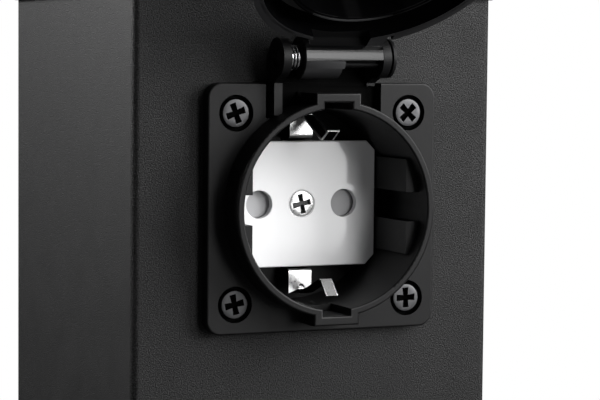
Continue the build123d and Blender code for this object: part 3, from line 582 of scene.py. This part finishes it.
def metal_with_painted_shade(name, colour, roughness, depth, shade=0.8):
    """Metal of a screw or clip with painted shade where its attribute says so: dark, dull and not metallic there.
    """
    material, tree, shader, place = new_material(name)
    marks = noise(tree, place, WEAR_SIZE, detail=4.0, roughness=0.7)
    recess = painted(tree, RECESS)
    tone = mixed(tree, recess, ramp(tree, marks, scaled(colour, shade), colour), PAINTED_SHADE_COLOUR)
    tree.links.new(tone, shader.inputs["Base Color"])
    bare = arithmetic(tree, "SUBTRACT", 1.0, recess)
    tree.links.new(bare, shader.inputs["Metallic"])
    tree.links.new(arithmetic(tree, "MULTIPLY", bare, bare), shader.inputs["Specular IOR Level"])
    roughnesses = scaled(WEAR_ROUGHNESS_SHARES, roughness)
    tree.links.new(spread(tree, marks, *roughnesses), shader.inputs["Roughness"])
    bump(tree, shader, marks, depth)
    return material


def rubber(name, colour):
    """Soft seal with a dusty matt skin."""
    material, tree, shader, place = new_material(name)
    skin = noise(tree, place, DUST_SIZE, detail=3.0)
    tree.links.new(ramp(tree, skin, colour, scaled(colour, DUST_SHARE)), shader.inputs["Base Color"])
    shader.inputs["Roughness"].default_value = RUBBER_ROUGHNESS
    bump(tree, shader, skin, DUST_DEPTH)
    return material


def black_moulding():
    """Black plastic of the flange, with painted shade in its pocket and its counterbores."""
    return moulding("Black moulding", mouldings().black, roughness=0.44, gloss=0.2, cavity_shade=True)


def white_moulding():
    """Smooth, shiny white plastic of the contact cover."""
    return moulding(
        "White moulding", mouldings().white, roughness=0.06, grain=WHITE_GRAIN, depth=WHITE_DEPTH, shade=0.97,
    )


FINISHES = {
    "post_coat": lambda: textured_coat("Post coat"),
    "base_coat": lambda: textured_coat("Base coat"),
    "black_moulding": black_moulding,
    "lid_moulding": lambda: zoned_moulding("Lid moulding", polished=0.12, satin=0.36),
    "white_moulding": white_moulding,
    "shutter_moulding": lambda: moulding("Shutter moulding", mouldings().shutter, roughness=0.38, shade=0.92),
    "carrier_moulding": lambda: moulding("Carrier moulding", mouldings().carrier, roughness=0.5),
    "seal": lambda: rubber("Seal", mouldings().seal),
    "nickel": lambda: metal_with_painted_shade("Nickel", metals().nickel, 0.3, NICKEL_DEPTH),
    "screw_steel": lambda: metal_with_painted_shade("Screw steel", metals().screw_steel, 0.46, STEEL_DEPTH),
    "brass": lambda: metal("Brass", metals().brass, roughness=0.26),
    "spring_steel": lambda: metal("Spring steel", metals().spring_steel, roughness=0.22),
}
MADE = {}


def finish(slot_name):
    """The material of that slot, made once."""
    if slot_name not in MADE:
        MADE[slot_name] = FINISHES[slot_name]()
    return MADE[slot_name]


def slot_of(node):
    """The record's material slot of a CAD node."""
    return next(s["material_slot"] for s in frame["record"]["subparts"] if s["node"] == node)


def body_of(node):
    """The body that carries a CAD node."""
    groups = frame["record"]["behaviour"]["bodies"]
    return next(body for body, members in groups.items() if node in members)


# Meshes

def to_mesh(bm, name):
    """Turns a bmesh into a mesh."""
    mesh = bpy.data.meshes.new(name)
    bm.to_mesh(mesh)
    bm.free()
    return mesh


def add_piece(node, bm):
    """Puts a finished bmesh into the scene in place of a CAD node, on that node's body."""
    name = node + "_piece"
    mesh = to_mesh(bm, name)
    for polygon in mesh.polygons:
        polygon.use_smooth = True
    mesh.set_sharp_from_angle(angle=math.radians(SHARP_ANGLE))
    mesh.materials.clear()
    mesh.materials.append(finish(slot_of(node)))
    piece = bpy.data.objects.new(name, mesh)
    bpy.context.scene.collection.objects.link(piece)
    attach(piece, body_of(node))
    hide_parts(node)
    return piece


def even_normals(piece):
    """Lets the large faces set the shading of a piece, so that flat faces stay flat beside rounded edges."""
    modifier = piece.modifiers.new("Even normals", "WEIGHTED_NORMAL")
    modifier.keep_sharp = True


def round_edges(piece, width, segments=3):
    """Rounds the sharp edges of a piece."""
    modifier = piece.modifiers.new("Round edges", "BEVEL")
    modifier.width = width
    modifier.segments = segments
    modifier.limit_method = "ANGLE"
    modifier.angle_limit = math.radians(BEVEL_ANGLE)
    modifier.use_clamp_overlap = True


def merged_copy(node):
    """A bmesh of a CAD node with its loose triangles joined and its flat faces cleaned."""
    bm = bmesh.new()
    bm.from_mesh(frame["nodes"][node].data)
    bmesh.ops.remove_doubles(bm, verts=bm.verts, dist=MERGE_GAP * MM)
    bmesh.ops.dissolve_limit(
        bm, angle_limit=math.radians(FLAT_ANGLE), use_dissolve_boundaries=False,
        verts=bm.verts, edges=bm.edges,
    )
    return bm


def dress(*nodes, width=0.0):
    """Carries CAD nodes over as smooth shaded pieces, their sharp edges rounded to a width."""
    for node in nodes:
        piece = add_piece(node, merged_copy(node))
        if width:
            round_edges(piece, width)
        even_normals(piece)


def corners_among(made):
    """The vertices among what an operator made."""
    return [g for g in made if isinstance(g, bmesh.types.BMVert)]


def settled(bm, matrix):
    """Moves a new shape to its place and points its faces outwards."""
    bmesh.ops.transform(bm, matrix=matrix, verts=bm.verts)
    bmesh.ops.recalc_face_normals(bm, faces=bm.faces)
    return bm


def turned(profile, matrix, steps=SPUN_STEPS):
    """Turns a closed profile of radius and height about the local z axis."""
    bm = bmesh.new()
    verts = [bm.verts.new(Vector((r, 0, z)) * MM) for r, z in profile]
    sides = [bm.edges.new(pair) for pair in zip(verts, verts[1:] + verts[:1])]
    bmesh.ops.spin(
        bm, geom=verts + sides, cent=(0, 0, 0), axis=(0, 0, 1),
        angle=2 * math.pi, steps=steps, use_merge=True,
    )
    bmesh.ops.remove_doubles(bm, verts=bm.verts, dist=SPUN_MERGE_GAP * MM)
    return settled(bm, matrix)


def raised(outline, travel, taper=1.0):
    """Extrudes an outline in millimetres, its far end tapered towards the local z axis."""
    bm = bmesh.new()
    face = bm.faces.new([bm.verts.new(Vector(p) * MM) for p in outline])
    moved = corners_among(bmesh.ops.extrude_face_region(bm, geom=[face])["geom"])
    bmesh.ops.translate(bm, verts=moved, vec=Vector(travel) * MM)
    if taper != 1.0:
        bmesh.ops.scale(bm, verts=moved, vec=(taper, taper, 1))
    return bm


def prism(outline, low, high, matrix, taper=1.0):
    """Prism from low to high over an outline in millimetres, tapered towards its low end."""
    return settled(raised([(x, y, high) for x, y in outline], (0, 0, low - high), taper), matrix)


def cut(bm, cutter):
    """Takes the cutter's shape out of a bmesh."""
    pair = [bpy.data.objects.new(name, to_mesh(b, name)) for name, b in (("Whole", bm), ("Cutter", cutter))]
    for thing in pair:
        bpy.context.scene.collection.objects.link(thing)
    modifier = pair[0].modifiers.new("Cut", "BOOLEAN")
    modifier.operation = "DIFFERENCE"
    modifier.solver = "EXACT"
    modifier.object = pair[1]
    graph = bpy.context.evaluated_depsgraph_get()
    result = bmesh.new()
    result.from_mesh(pair[0].evaluated_get(graph).data)
    for thing in pair:
        mesh = thing.data
        bpy.data.objects.remove(thing)
        bpy.data.meshes.remove(mesh)
    return result


def merged(parts):
    """One bmesh out of several."""
    whole = bmesh.new()
    for part in parts:
        mesh = to_mesh(part, "part")
        whole.from_mesh(mesh)
        bpy.data.meshes.remove(mesh)
    return whole


def arc(centre, radius, start, stop, steps):
    """Points on an arc, angles in degrees."""
    angles = [math.radians(start + (stop - start) * i / steps) for i in range(steps + 1)]
    return [(centre[0] + radius * math.cos(a), centre[1] + radius * math.sin(a)) for a in angles]


def rectangle(left, low, right, high):
    """Corners of an upright rectangle."""
    return [(left, low), (right, low), (right, high), (left, high)]


def paint(bm, layer_name, tone_at):
    """Writes a grey colour attribute, the tone of each face worked out from its centre."""
    layer = bm.loops.layers.float_color.new(layer_name)
    for face in bm.faces:
        tone = tone_at(face.calc_center_median())
        for loop in face.loops:
            loop[layer] = (tone, tone, tone, 1.0)


def cross_outline(reach, width):
    """Outline of a cross recess whose arms flare a little."""
    root, flare = width / 2, width * ARM_FLARE_SHARE
    arm = [(reach, -flare), (reach, flare), (root, root)]
    points = []
    for cosine, sine in ((1, 0), (0, 1), (-1, 0), (0, -1)):
        points += [(cosine * x - sine * y, sine * x + cosine * y) for x, y in arm]
    return points


def screw_head(matrix, angle, radius, height, edge, shank_r, shank, reach, width, depth, crown=0.0,
               countersunk=False, dark_rim=math.inf, painted_shade=1.0):
    """Screw with a tapered cross recess, painted dark as painted shade in the recess and beyond the dark rim; the
    top of its head lies at zero height.
    """
    rounded = [(radius - edge + x, -edge + y) for x, y in arc((0, 0), edge, ROUNDED_FROM, 0, ARC_STEPS)]
    side = [(shank_r, -height), (shank_r, -shank), (0, -shank)]
    if not countersunk:
        side.insert(0, (radius, -height))
    crowned = [(0, crown), (radius * CROWN_SHARE, crown - CROWN_FALL)]
    bm = turned([*crowned, *rounded, *side], Matrix.Identity(4), HEAD_STEPS)
    turn = Matrix.Rotation(math.radians(angle), 4, "Z")
    bm = cut(bm, prism(cross_outline(reach, width), -depth, RECESS_OVERRUN, turn, RECESS_TAPER_SHARE))

    # Painted shade: the recess, and the head beyond the dark rim, are painted dark
    def painted_shade_at(centre):
        out = math.hypot(centre.x, centre.y) / MM
        sunk = -RECESS_RIM * MM > centre.z > -(depth + RECESS_SLACK) * MM
        return painted_shade if out < reach * RECESS_REACH_SHARE and sunk or out > dark_rim else 0.0

    paint(bm, RECESS, painted_shade_at)
    bmesh.ops.transform(bm, matrix=matrix, verts=bm.verts)
    return bm


def ribbon(line, thickness, left, right):
    """Bent strip of sheet along a line of height and depth, between its left and right edges."""
    sides = ([], [])
    for i, here in enumerate(line):
        along = (Vector(line[min(i + 1, len(line) - 1)]) - Vector(line[max(i - 1, 0)])).normalized()
        across = Vector((-along.y, along.x)) * thickness / 2
        sides[0].append(Vector(here) + across)
        sides[1].append(Vector(here) - across)
    outline = [(left, p.x, p.y) for p in sides[0] + sides[1][::-1]]
    return settled(raised(outline, (right - left, 0, 0)), Matrix.Identity(4))


def bent(points, radius, steps=5):
    """Polyline with its inner corners rounded."""
    out = [points[0]]
    for before, here, after in zip(points, points[1:], points[2:]):
        corner = Vector(here)
        one, other = (Vector(before) - corner).normalized(), (Vector(after) - corner).normalized()
        half = math.acos(max(-1, min(1, one.dot(other)))) / 2
        reach = radius / math.tan(half)
        middle = corner + (one + other).normalized() * radius / math.sin(half)
        start, stop = corner + one * reach, corner + other * reach
        for i in range(steps + 1):
            spoke = start.lerp(stop, i / steps) - middle
            out.append(tuple(middle + spoke.normalized() * radius))
    out.append(points[-1])
    return out


def coil(matrix, radius, wire, pitch, turns, leg):
    """Wire coil wound up the local z axis, with a straight leg before its first turn."""
    bm = bmesh.new()
    start = bmesh.ops.create_circle(
        bm, cap_ends=False, segments=WIRE_SIDES, radius=wire / 2 * MM,
        matrix=shift(radius, -leg, 0) @ Matrix.Rotation(QUARTER, 4, "X"),
    )["verts"]
    ring = list(dict.fromkeys(e for v in start for e in v.link_edges))
    grown = bmesh.ops.extrude_edge_only(bm, edges=ring)["geom"]
    tops = corners_among(grown)
    bmesh.ops.translate(bm, verts=tops, vec=(0, leg * MM, 0))
    rim = [g for g in grown if isinstance(g, bmesh.types.BMEdge) and all(v in tops for v in g.verts)]
    steps = round(turns * TURN_STEPS)
    bmesh.ops.spin(
        bm, geom=tops + rim, cent=(0, 0, 0), axis=(0, 0, 1), dvec=(0, 0, pitch * turns / steps * MM),
        angle=2 * math.pi * turns, steps=steps, use_merge=False,
    )
    bmesh.ops.holes_fill(bm, edges=[e for e in bm.edges if e.is_boundary], sides=0)
    return settled(bm, matrix)


# Shapes of the flange

def hinge_pocket():
    """Cutter for the pocket in the flange's front, above the collar and its top bump."""
    reach, bump_x, bump_y = COLLAR_R + POCKET_GAP, BUMP_HALF + POCKET_GAP, BUMP_REACH + POCKET_GAP
    right, left, bump = (math.degrees(math.asin(x / reach)) for x in (POCKET_RIGHT, POCKET_LEFT, bump_x))
    outline = [
        (POCKET_RIGHT, POCKET_TOP), (-POCKET_LEFT, POCKET_TOP),
        *arc((0, 0), reach, 90 + left, 90 + bump, FINE_STEPS), (-bump_x, bump_y),
        (bump_x, bump_y), *arc((0, 0), reach, 90 - bump, 90 - right, FINE_STEPS),
    ]
    return prism(outline, POCKET_FLOOR, POCKET_MOUTH, OUTLET)


def ear_disc():
    """Disc on the outside of the right ear, with a groove behind it."""
    profile = [
        (0, DISC_IN), (GROOVE_R, DISC_IN), (GROOVE_R, DISC_BACK), (DISC_R, DISC_BACK + DISC_SLOPE),
        (DISC_R, DISC_OUT - DISC_ROUND), (DISC_FACE_R, DISC_OUT), (0, DISC_OUT),
    ]
    return turned(profile, AT_HINGE @ ALONG_HINGE)


def pocket_backing():
    """Thin backing behind the barrel, above the flange, which takes the flange's painted shade."""
    outline = rectangle(BACKING_LEFT, BACKING_LOW, BACKING_RIGHT, BACKING_HIGH)
    return prism(outline, BACKING_BACK, BACKING_FRONT, OUTLET)


def paint_cavity_shade(flange, square):
    """Marks the pocket and the counterbores, whose screws lie on a square of that half width, for painted shade.
    """
    layer = flange.data.attributes.new(CAVITY, "FLOAT_COLOR", "CORNER")
    out = OUTLET.inverted()
    wide = POCKET_RIGHT + POCKET_GAP
    for polygon in flange.data.polygons:
        corners = [out @ flange.data.vertices[i].co / MM for i in polygon.vertices]
        pocket = all(
            abs(c.x) < wide and CAVITY_LOW < c.y < CAVITY_HIGH and c.z < CAVITY_MOUTH for c in corners
        )
        counterbore = all(
            math.hypot(abs(c.x) - square, abs(c.y) - square) < COUNTERBORE_R and c.z < COUNTERBORE_MOUTH
            for c in corners
        )
        tone = 1 if pocket or counterbore else 0
        for corner in polygon.loop_indices:
            layer.data[corner].color = (tone, tone, tone, 1)


# Shapes of the earth clip

def clip_pad():
    """Strip that runs behind the well, with a dimple in its lower pad."""
    line = [
        (-CLIP_END, CLIP_PAD), (-CLIP_STEP, CLIP_PAD), (-CLIP_STEP, CLIP_BASE),
        (CLIP_STEP, CLIP_BASE), (CLIP_STEP, CLIP_PAD), (CLIP_END, CLIP_PAD),
    ]
    dimple = bmesh.new()
    bmesh.ops.create_uvsphere(
        dimple, u_segments=DIMPLE_SIDES, v_segments=DIMPLE_RINGS, radius=DIMPLE_R * MM,
        matrix=shift(*DIMPLE_PLACE),
    )
    return cut(ribbon(bent(line, CLIP_BEND), CLIP_SHEET, -CLIP_HALF, CLIP_HALF), dimple)


def clip_spring(side, apex, lip):
    """Thin spring at one end of the clip, with a border round its wide faces."""
    line = [
        (side * SPRING_FOOT, SPRING_PAD), (side * SPRING_HEEL, SPRING_PAD),
        (side * apex, SPRING_APEX_OUT), (side * lip, SPRING_LIP_OUT),
    ]
    spring = ribbon(bent(line, SPRING_BEND, FINE_STEPS), SPRING_SHEET, SPRING_LEFT, SPRING_RIGHT)
    wide = [face for face in spring.faces if abs(face.normal.x) < WIDE_FACING]
    bmesh.ops.inset_region(
        spring, faces=wide, thickness=SPRING_BORDER * MM, depth=0, use_boundary=True, use_even_offset=True,
    )
    return spring


def clip_painted_reflection(centre):
    """How dark the clip is painted at a place, a painted reflection of the dark inside of the well."""
    out = (FACE_Y - centre.y) / MM
    lower = centre.z < OUTLET_Z
    flat = 0 < centre.x / MM < DARK_RIGHT or lower and out < DARK_LOW_OUT
    if out < DARK_DEEP or DARK_PAD < out < DARK_OUT and flat:
        return DARK_LOW_LEVEL if lower and out > DARK_LOW_OUT else 1.0
    return 0.0


# Shapes of the lid

def barrel_notch():
    """Cutter for the underside of the barrel's right half, which leaves its core."""
    outline = rectangle(NOTCH_LEFT, -NOTCH_REACH, NOTCH_RIGHT, NOTCH_TOP)
    core = [(0, CORE_IN), (CORE_R, CORE_IN), (CORE_R, CORE_OUT), (0, CORE_OUT)]
    return cut(prism(outline, -NOTCH_REACH, NOTCH_REACH, AT_HINGE), turned(core, AT_HINGE @ ALONG_HINGE))


def lid_rim():
    """Square rim round the lid's mouth, open beside the hinge."""
    last = 360 * (RIM_STEPS - 1) / RIM_STEPS
    circle = arc((0, RIM_SHIFT), RIM_R, 0, last, RIM_STEPS - 1)
    inner = [(0, RIM_CUT_LOW), (RIM_INNER_R, RIM_CUT_LOW), (RIM_INNER_R, RIM_CUT_HIGH), (0, RIM_CUT_HIGH)]
    ring = cut(prism(circle, 0.0, RIM_HEIGHT, LID_MIDDLE), turned(inner, LID_MIDDLE, RIM_STEPS))
    gap = rectangle(-RIM_GAP_HALF, RIM_GAP_NEAR, RIM_GAP_HALF, RIM_GAP_FAR)
    return cut(ring, prism(gap, RIM_CUT_LOW, RIM_CUT_HIGH, LID_MIDDLE))


def lid_bead():
    """Thin bead inside the lid's mouth."""
    profile = rectangle(BEAD_INNER_R, BEAD_LOW, BEAD_OUTER_R, BEAD_HIGH)
    return turned(profile, LID_MIDDLE, RIM_STEPS)


def lip_highlight(across, height):
    """How much painted highlight, in the edge's colour, the lip shows: most in the middle, less further in."""
    level = 1.0 if height < FADE_STEP * MM else FADE_FAR
    return max(0.0, 1 - (across / FADE_HALF) ** 2) * level


def paint_lid(lid):
    """Marks the lid's rim and lip for painted light, its polished inside, its barrel and what lies under the
    barrel, which gets some painted light too.
    """
    zone = lid.data.attributes.new(ZONE, "FLOAT_COLOR", "CORNER")
    back, to_hinge = LID.inverted(), AT_HINGE.inverted()
    for polygon in lid.data.polygons:
        corners = [back @ lid.data.vertices[i].co for i in polygon.vertices]
        height = sum(c.z for c in corners) / len(corners)
        facing = (back.to_3x3() @ polygon.normal).z
        out = sum(math.hypot(c.x, c.y + HINGE.z - OUTLET_Z) for c in corners) / len(corners)
        inside = out < RIM_INNER_R * MM and height > INSIDE_LOW * MM and facing < INSIDE_FACING
        rim = out > RIM_INNER_R * MM and facing < RIM_FACING and height < RIM_FACE_HIGH * MM
        near = all(abs(c.x) < NEAR_HALF * MM and c.y > -NEAR_REACH * MM for c in corners)
        bead = (BEAD_INNER_R - BEAD_SLACK) * MM < out < (BEAD_OUTER_R + BEAD_SLACK) * MM
        bead = bead and height < BEAD_PALE_HIGH * MM
        lip = near and (bead or LIP_FACING_LOW < facing < LIP_FACING_HIGH and height < LIP_HIGH * MM)
        barrel = all(abs(math.hypot(c.y, c.z) - BARREL_R * MM) < BARREL_SLACK * MM for c in corners)
        hollow = all(c.x > HOLLOW_LEFT * MM and math.hypot(c.y, c.z) < HOLLOW_R * MM for c in corners)
        under = barrel and (to_hinge @ lid.data.vertices[polygon.vertices[0]].co).y < BARREL_UNDER * MM
        tone = POLISHED if inside or hollow else UNDERSIDE if under else SHINY if barrel else SATIN
        for corner, spot in zip(polygon.loop_indices, corners):
            # Painted light: a lit band on the rim and a highlight arc on the lip, in the pale edge colour
            if rim or lip:
                tone = (EDGE_ROUGH, EDGE_GLOSS, FADE_RIM if rim else lip_highlight(spot.x / MM, height), 1)
            zone.data[corner].color = tone


# Operators

class SOCKETPOST_OT_post(Operator):
    """Coated tube, cap, base plate, their seals and screws, and what holds the cable"""

    bl_idname = "socket_post.post"
    bl_label = "Post"

    def execute(self, context):
        dress("post_tube", "top_cap", "base_plate", "base_gasket", "cap_gasket", "cap_screws", "base_screws")
        dress("cable_grommet", "relief_bracket", "relief_bracket_screws", "relief_clamp")
        dress("relief_clamp_screws", "earth_stud", "earth_nut")
        return {"FINISHED"}


class SOCKETPOST_OT_outlet(Operator):
    """Flange with its collar, well and ears, its seal, screws and nuts"""

    bl_idname = "socket_post.outlet"
    bl_label = "Outlet"

    def execute(self, context):
        low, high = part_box("flange_screws")
        square = (high.x - low.x) / MM / 2 - HEAD_R
        top = (FACE_Y - low.y) / MM
        body = cut(merged_copy("socket_flange"), hinge_pocket())
        flange = add_piece("socket_flange", merged([body, ear_disc(), pocket_backing()]))
        round_edges(flange, edges().flange)
        even_normals(flange)
        # Painted shade in the pocket, the backing and the counterbores
        paint_cavity_shade(flange, square)
        dress("flange_gasket", "flange_nuts")
        heads = [
            screw_head(OUTLET @ shift(x * square, y * square, top), turn, **FLANGE_SCREW)
            for (x, y), turn in FLANGE_SCREW_TURNS
        ]
        even_normals(add_piece("flange_screws", merged(heads)))
        return {"FINISHED"}


class SOCKETPOST_OT_contacts(Operator):
    """White contact cover, its screw, the shutter, the earth clip and what lies behind them"""

    bl_idname = "socket_post.contacts"
    bl_label = "Contacts"

    def execute(self, context):
        dress("contact_cover", width=edges().cover)
        dress("shutter", "shutter_spring", "contact_carrier", "line_contact", "neutral_contact")
        dress("earth_terminal", "terminal_screws", "rear_cover", "rear_cover_screws")
        clip = merged([clip_pad(), *(clip_spring(*side) for side in SPRING_SIDES)])
        bmesh.ops.transform(clip, matrix=OUTLET, verts=clip.verts)
        # Painted reflection: the clip is painted dark where it mirrors the dark well
        paint(clip, RECESS, clip_painted_reflection)
        piece = add_piece("earth_clip", clip)
        round_edges(piece, edges().clip, segments=2)
        even_normals(piece)
        cover_front = (FACE_Y - COVER_LOW.y) / MM
        head = screw_head(OUTLET @ shift(0, 0, cover_front), COVER_SCREW_TURN, **COVER_SCREW)
        even_normals(add_piece("cover_screw", head))
        return {"FINISHED"}


class SOCKETPOST_OT_lid(Operator):
    """Hinged lid with its seal, the hinge pin and the hinge spring"""

    bl_idname = "socket_post.lid"
    bl_label = "Lid"

    def execute(self, context):
        lid = add_piece("lid", merged([cut(merged_copy("lid"), barrel_notch()), lid_rim(), lid_bead()]))
        round_edges(lid, edges().lid, segments=2)
        even_normals(lid)
        paint_lid(lid)
        dress("lid_gasket", "hinge_pin")
        add_piece("hinge_spring", coil(AT_HINGE @ shift(COIL_LEFT, 0, 0) @ ALONG_HINGE, **COIL))
        return {"FINISHED"}


# Stage

def soft_lamp(name, place, target, width, height, power):
    """Rectangular soft lamp aimed at a point."""
    data = bpy.data.lights.new(name, "AREA")
    data.shape = "RECTANGLE"
    data.size = width
    data.size_y = height
    data.energy = power
    lamp = bpy.data.objects.new(name, data)
    lamp.location = place
    lamp.rotation_mode = "QUATERNION"
    lamp.rotation_quaternion = (Vector(place) - Vector(target)).to_track_quat("Z", "Y")
    bpy.context.scene.collection.objects.link(lamp)


def outlet_lamp(name, azimuth, elevation, width, height, power):
    """Soft lamp aimed at the outlet, azimuth to the right of straight out."""
    turn, rise = math.radians(azimuth), math.radians(elevation)
    way = Vector((math.sin(turn) * math.cos(rise), -math.cos(turn) * math.cos(rise), math.sin(rise)))
    soft_lamp(name, OUTLET_CENTRE + way * LAMP_DISTANCE, OUTLET_CENTRE, width, height, power)


def white_rays(tree, path, direction, start, stop):
    """One for rays that see white: the camera's, those through glass, and reflected ones on one side."""
    behind = spread(tree, dot(tree, direction, BACKDROP_SIDE), 0, 1, start, stop)
    reflected = arithmetic(tree, "MULTIPLY", path["Is Glossy Ray"], behind)
    direct = arithmetic(tree, "MAXIMUM", path["Is Camera Ray"], path["Is Transmission Ray"])
    return arithmetic(tree, "MAXIMUM", direct, reflected)


def shader_mix(tree, factor, one, other, output):
    """Mixes two shaders into the output."""
    mix = tree.nodes.new("ShaderNodeMixShader")
    tree.links.new(factor, mix.inputs["Fac"])
    tree.links.new(one, mix.inputs[1])
    tree.links.new(other, mix.inputs[2])
    tree.links.new(mix.outputs["Shader"], output.inputs["Surface"])


def white_room():
    """World that the camera sees as white and that lights the part weakly."""
    world = bpy.data.worlds.new("Room")
    bpy.context.scene.world = world
    world.use_nodes = True
    tree = world.node_tree
    tree.nodes.clear()
    output = tree.nodes.new("ShaderNodeOutputWorld")
    light, seen = (tree.nodes.new("ShaderNodeBackground") for _ in range(2))
    for background, strength in ((light, stage().ambient), (seen, 1.0)):
        background.inputs["Color"].default_value = WHITE
        background.inputs["Strength"].default_value = strength
    direction = tree.nodes.new("ShaderNodeTexCoord").outputs["Generated"]
    path = tree.nodes.new("ShaderNodeLightPath").outputs
    factor = white_rays(tree, path, direction, *ROOM_WHITE)
    shader_mix(tree, factor, light.outputs["Background"], seen.outputs["Background"], output)


def pale_floor():
    """Floor that keeps the part's shadow close by and is plain white further off."""
    bm = bmesh.new()
    bmesh.ops.create_grid(bm, x_segments=1, y_segments=1, size=stage().floor_size / 2)
    mesh = to_mesh(bm, "Floor")
    floor = bpy.data.objects.new("Floor", mesh)
    bpy.context.scene.collection.objects.link(floor)
    material, tree, shader, place = new_material("Floor")
    output = next(n for n in tree.nodes if n.type == "OUTPUT_MATERIAL")
    glow = tree.nodes.new("ShaderNodeEmission")
    length = tree.nodes.new("ShaderNodeVectorMath")
    length.operation = "LENGTH"
    tree.links.new(place, length.inputs[0])
    away = spread(tree, length.outputs["Value"], 0, 1, *FLOOR_CLEAR)
    path = tree.nodes.new("ShaderNodeLightPath").outputs
    seen = white_rays(tree, path, place, *FLOOR_WHITE)
    tone = ramp(tree, path["Is Camera Ray"], FLOOR_DARK, FLOOR_PALE, 0, 1)
    tree.links.new(tone, shader.inputs["Base Color"])
    shader.inputs["Roughness"].default_value = FLOOR_ROUGHNESS
    factor = arithmetic(tree, "MULTIPLY", away, seen)
    shader_mix(tree, factor, shader.outputs["BSDF"], glow.outputs["Emission"], output)
    mesh.materials.append(material)


class SOCKETPOST_OT_stage(Operator):
    """Camera, lamps, room and floor"""

    bl_idname = "socket_post.stage"
    bl_label = "Stage"

    def execute(self, context):
        settings = stage()
        data = bpy.data.cameras.new("Camera")
        data.lens = settings.lens
        data.sensor_width = SENSOR_WIDTH
        data.clip_start = CLIP_START
        data.clip_end = CLIP_STOP
        camera = bpy.data.objects.new("Camera", data)
        place = Matrix.Translation(OUTLET @ Vector(settings.camera_place))
        turn = Euler((QUARTER + settings.pitch, 0, settings.yaw)).to_matrix().to_4x4()
        camera.matrix_world = place @ turn @ Matrix.Rotation(settings.roll, 4, "Z")
        context.scene.collection.objects.link(camera)
        context.scene.camera = camera
        outlet_lamp("Key", *KEY, settings.key_power)
        outlet_lamp("Fill", *FILL, settings.fill_power)
        outlet_lamp("Side", *SIDE, settings.side_power)
        soft_lamp("Rim", RIM_LAMP_PLACE, RIM_LAMP_AIM, RIM_LAMP_SIZE, RIM_LAMP_SIZE, settings.rim_power)
        white_room()
        pale_floor()
        context.scene.view_settings.view_transform = "Standard"
        return {"FINISHED"}


class SOCKETPOST_PT_sidebar(Panel):
    """Lists the parts of the garden socket post"""

    bl_idname = "SOCKETPOST_PT_sidebar"
    bl_label = "Garden Socket Post"
    bl_space_type = "VIEW_3D"
    bl_region_type = "UI"
    bl_category = "Socket Post"

    def draw(self, context):
        layout = self.layout
        for operator in OPERATORS:
            layout.operator(operator.bl_idname)
        for settings in (coat(), mouldings(), metals(), edges(), stage()):
            box = layout.box()
            for name in settings.__annotations__:
                box.prop(settings, name)


SETTINGS = {
    "socket_post_coat": CoatSettings,
    "socket_post_mouldings": MouldingSettings,
    "socket_post_metals": MetalSettings,
    "socket_post_edges": EdgeSettings,
    "socket_post_stage": StageSettings,
}
OPERATORS = (
    SOCKETPOST_OT_stage,
    SOCKETPOST_OT_post,
    SOCKETPOST_OT_outlet,
    SOCKETPOST_OT_contacts,
    SOCKETPOST_OT_lid,
)
CLASSES = (*SETTINGS.values(), *OPERATORS, SOCKETPOST_PT_sidebar)


def register():
    """Adds the classes and the settings."""
    for cls in CLASSES:
        bpy.utils.register_class(cls)
    for name, group in SETTINGS.items():
        setattr(bpy.types.Scene, name, PointerProperty(type=group))


def unregister():
    """Removes the settings and the classes."""
    for name in SETTINGS:
        delattr(bpy.types.Scene, name)
    for cls in reversed(CLASSES):
        bpy.utils.unregister_class(cls)


def main():
    """Makes the stage and every piece."""
    register()
    bpy.ops.socket_post.stage()
    bpy.ops.socket_post.post()
    bpy.ops.socket_post.outlet()
    bpy.ops.socket_post.contacts()
    bpy.ops.socket_post.lid()
    bpy.context.view_layer.update()


if __name__ == "__main__":
    main()
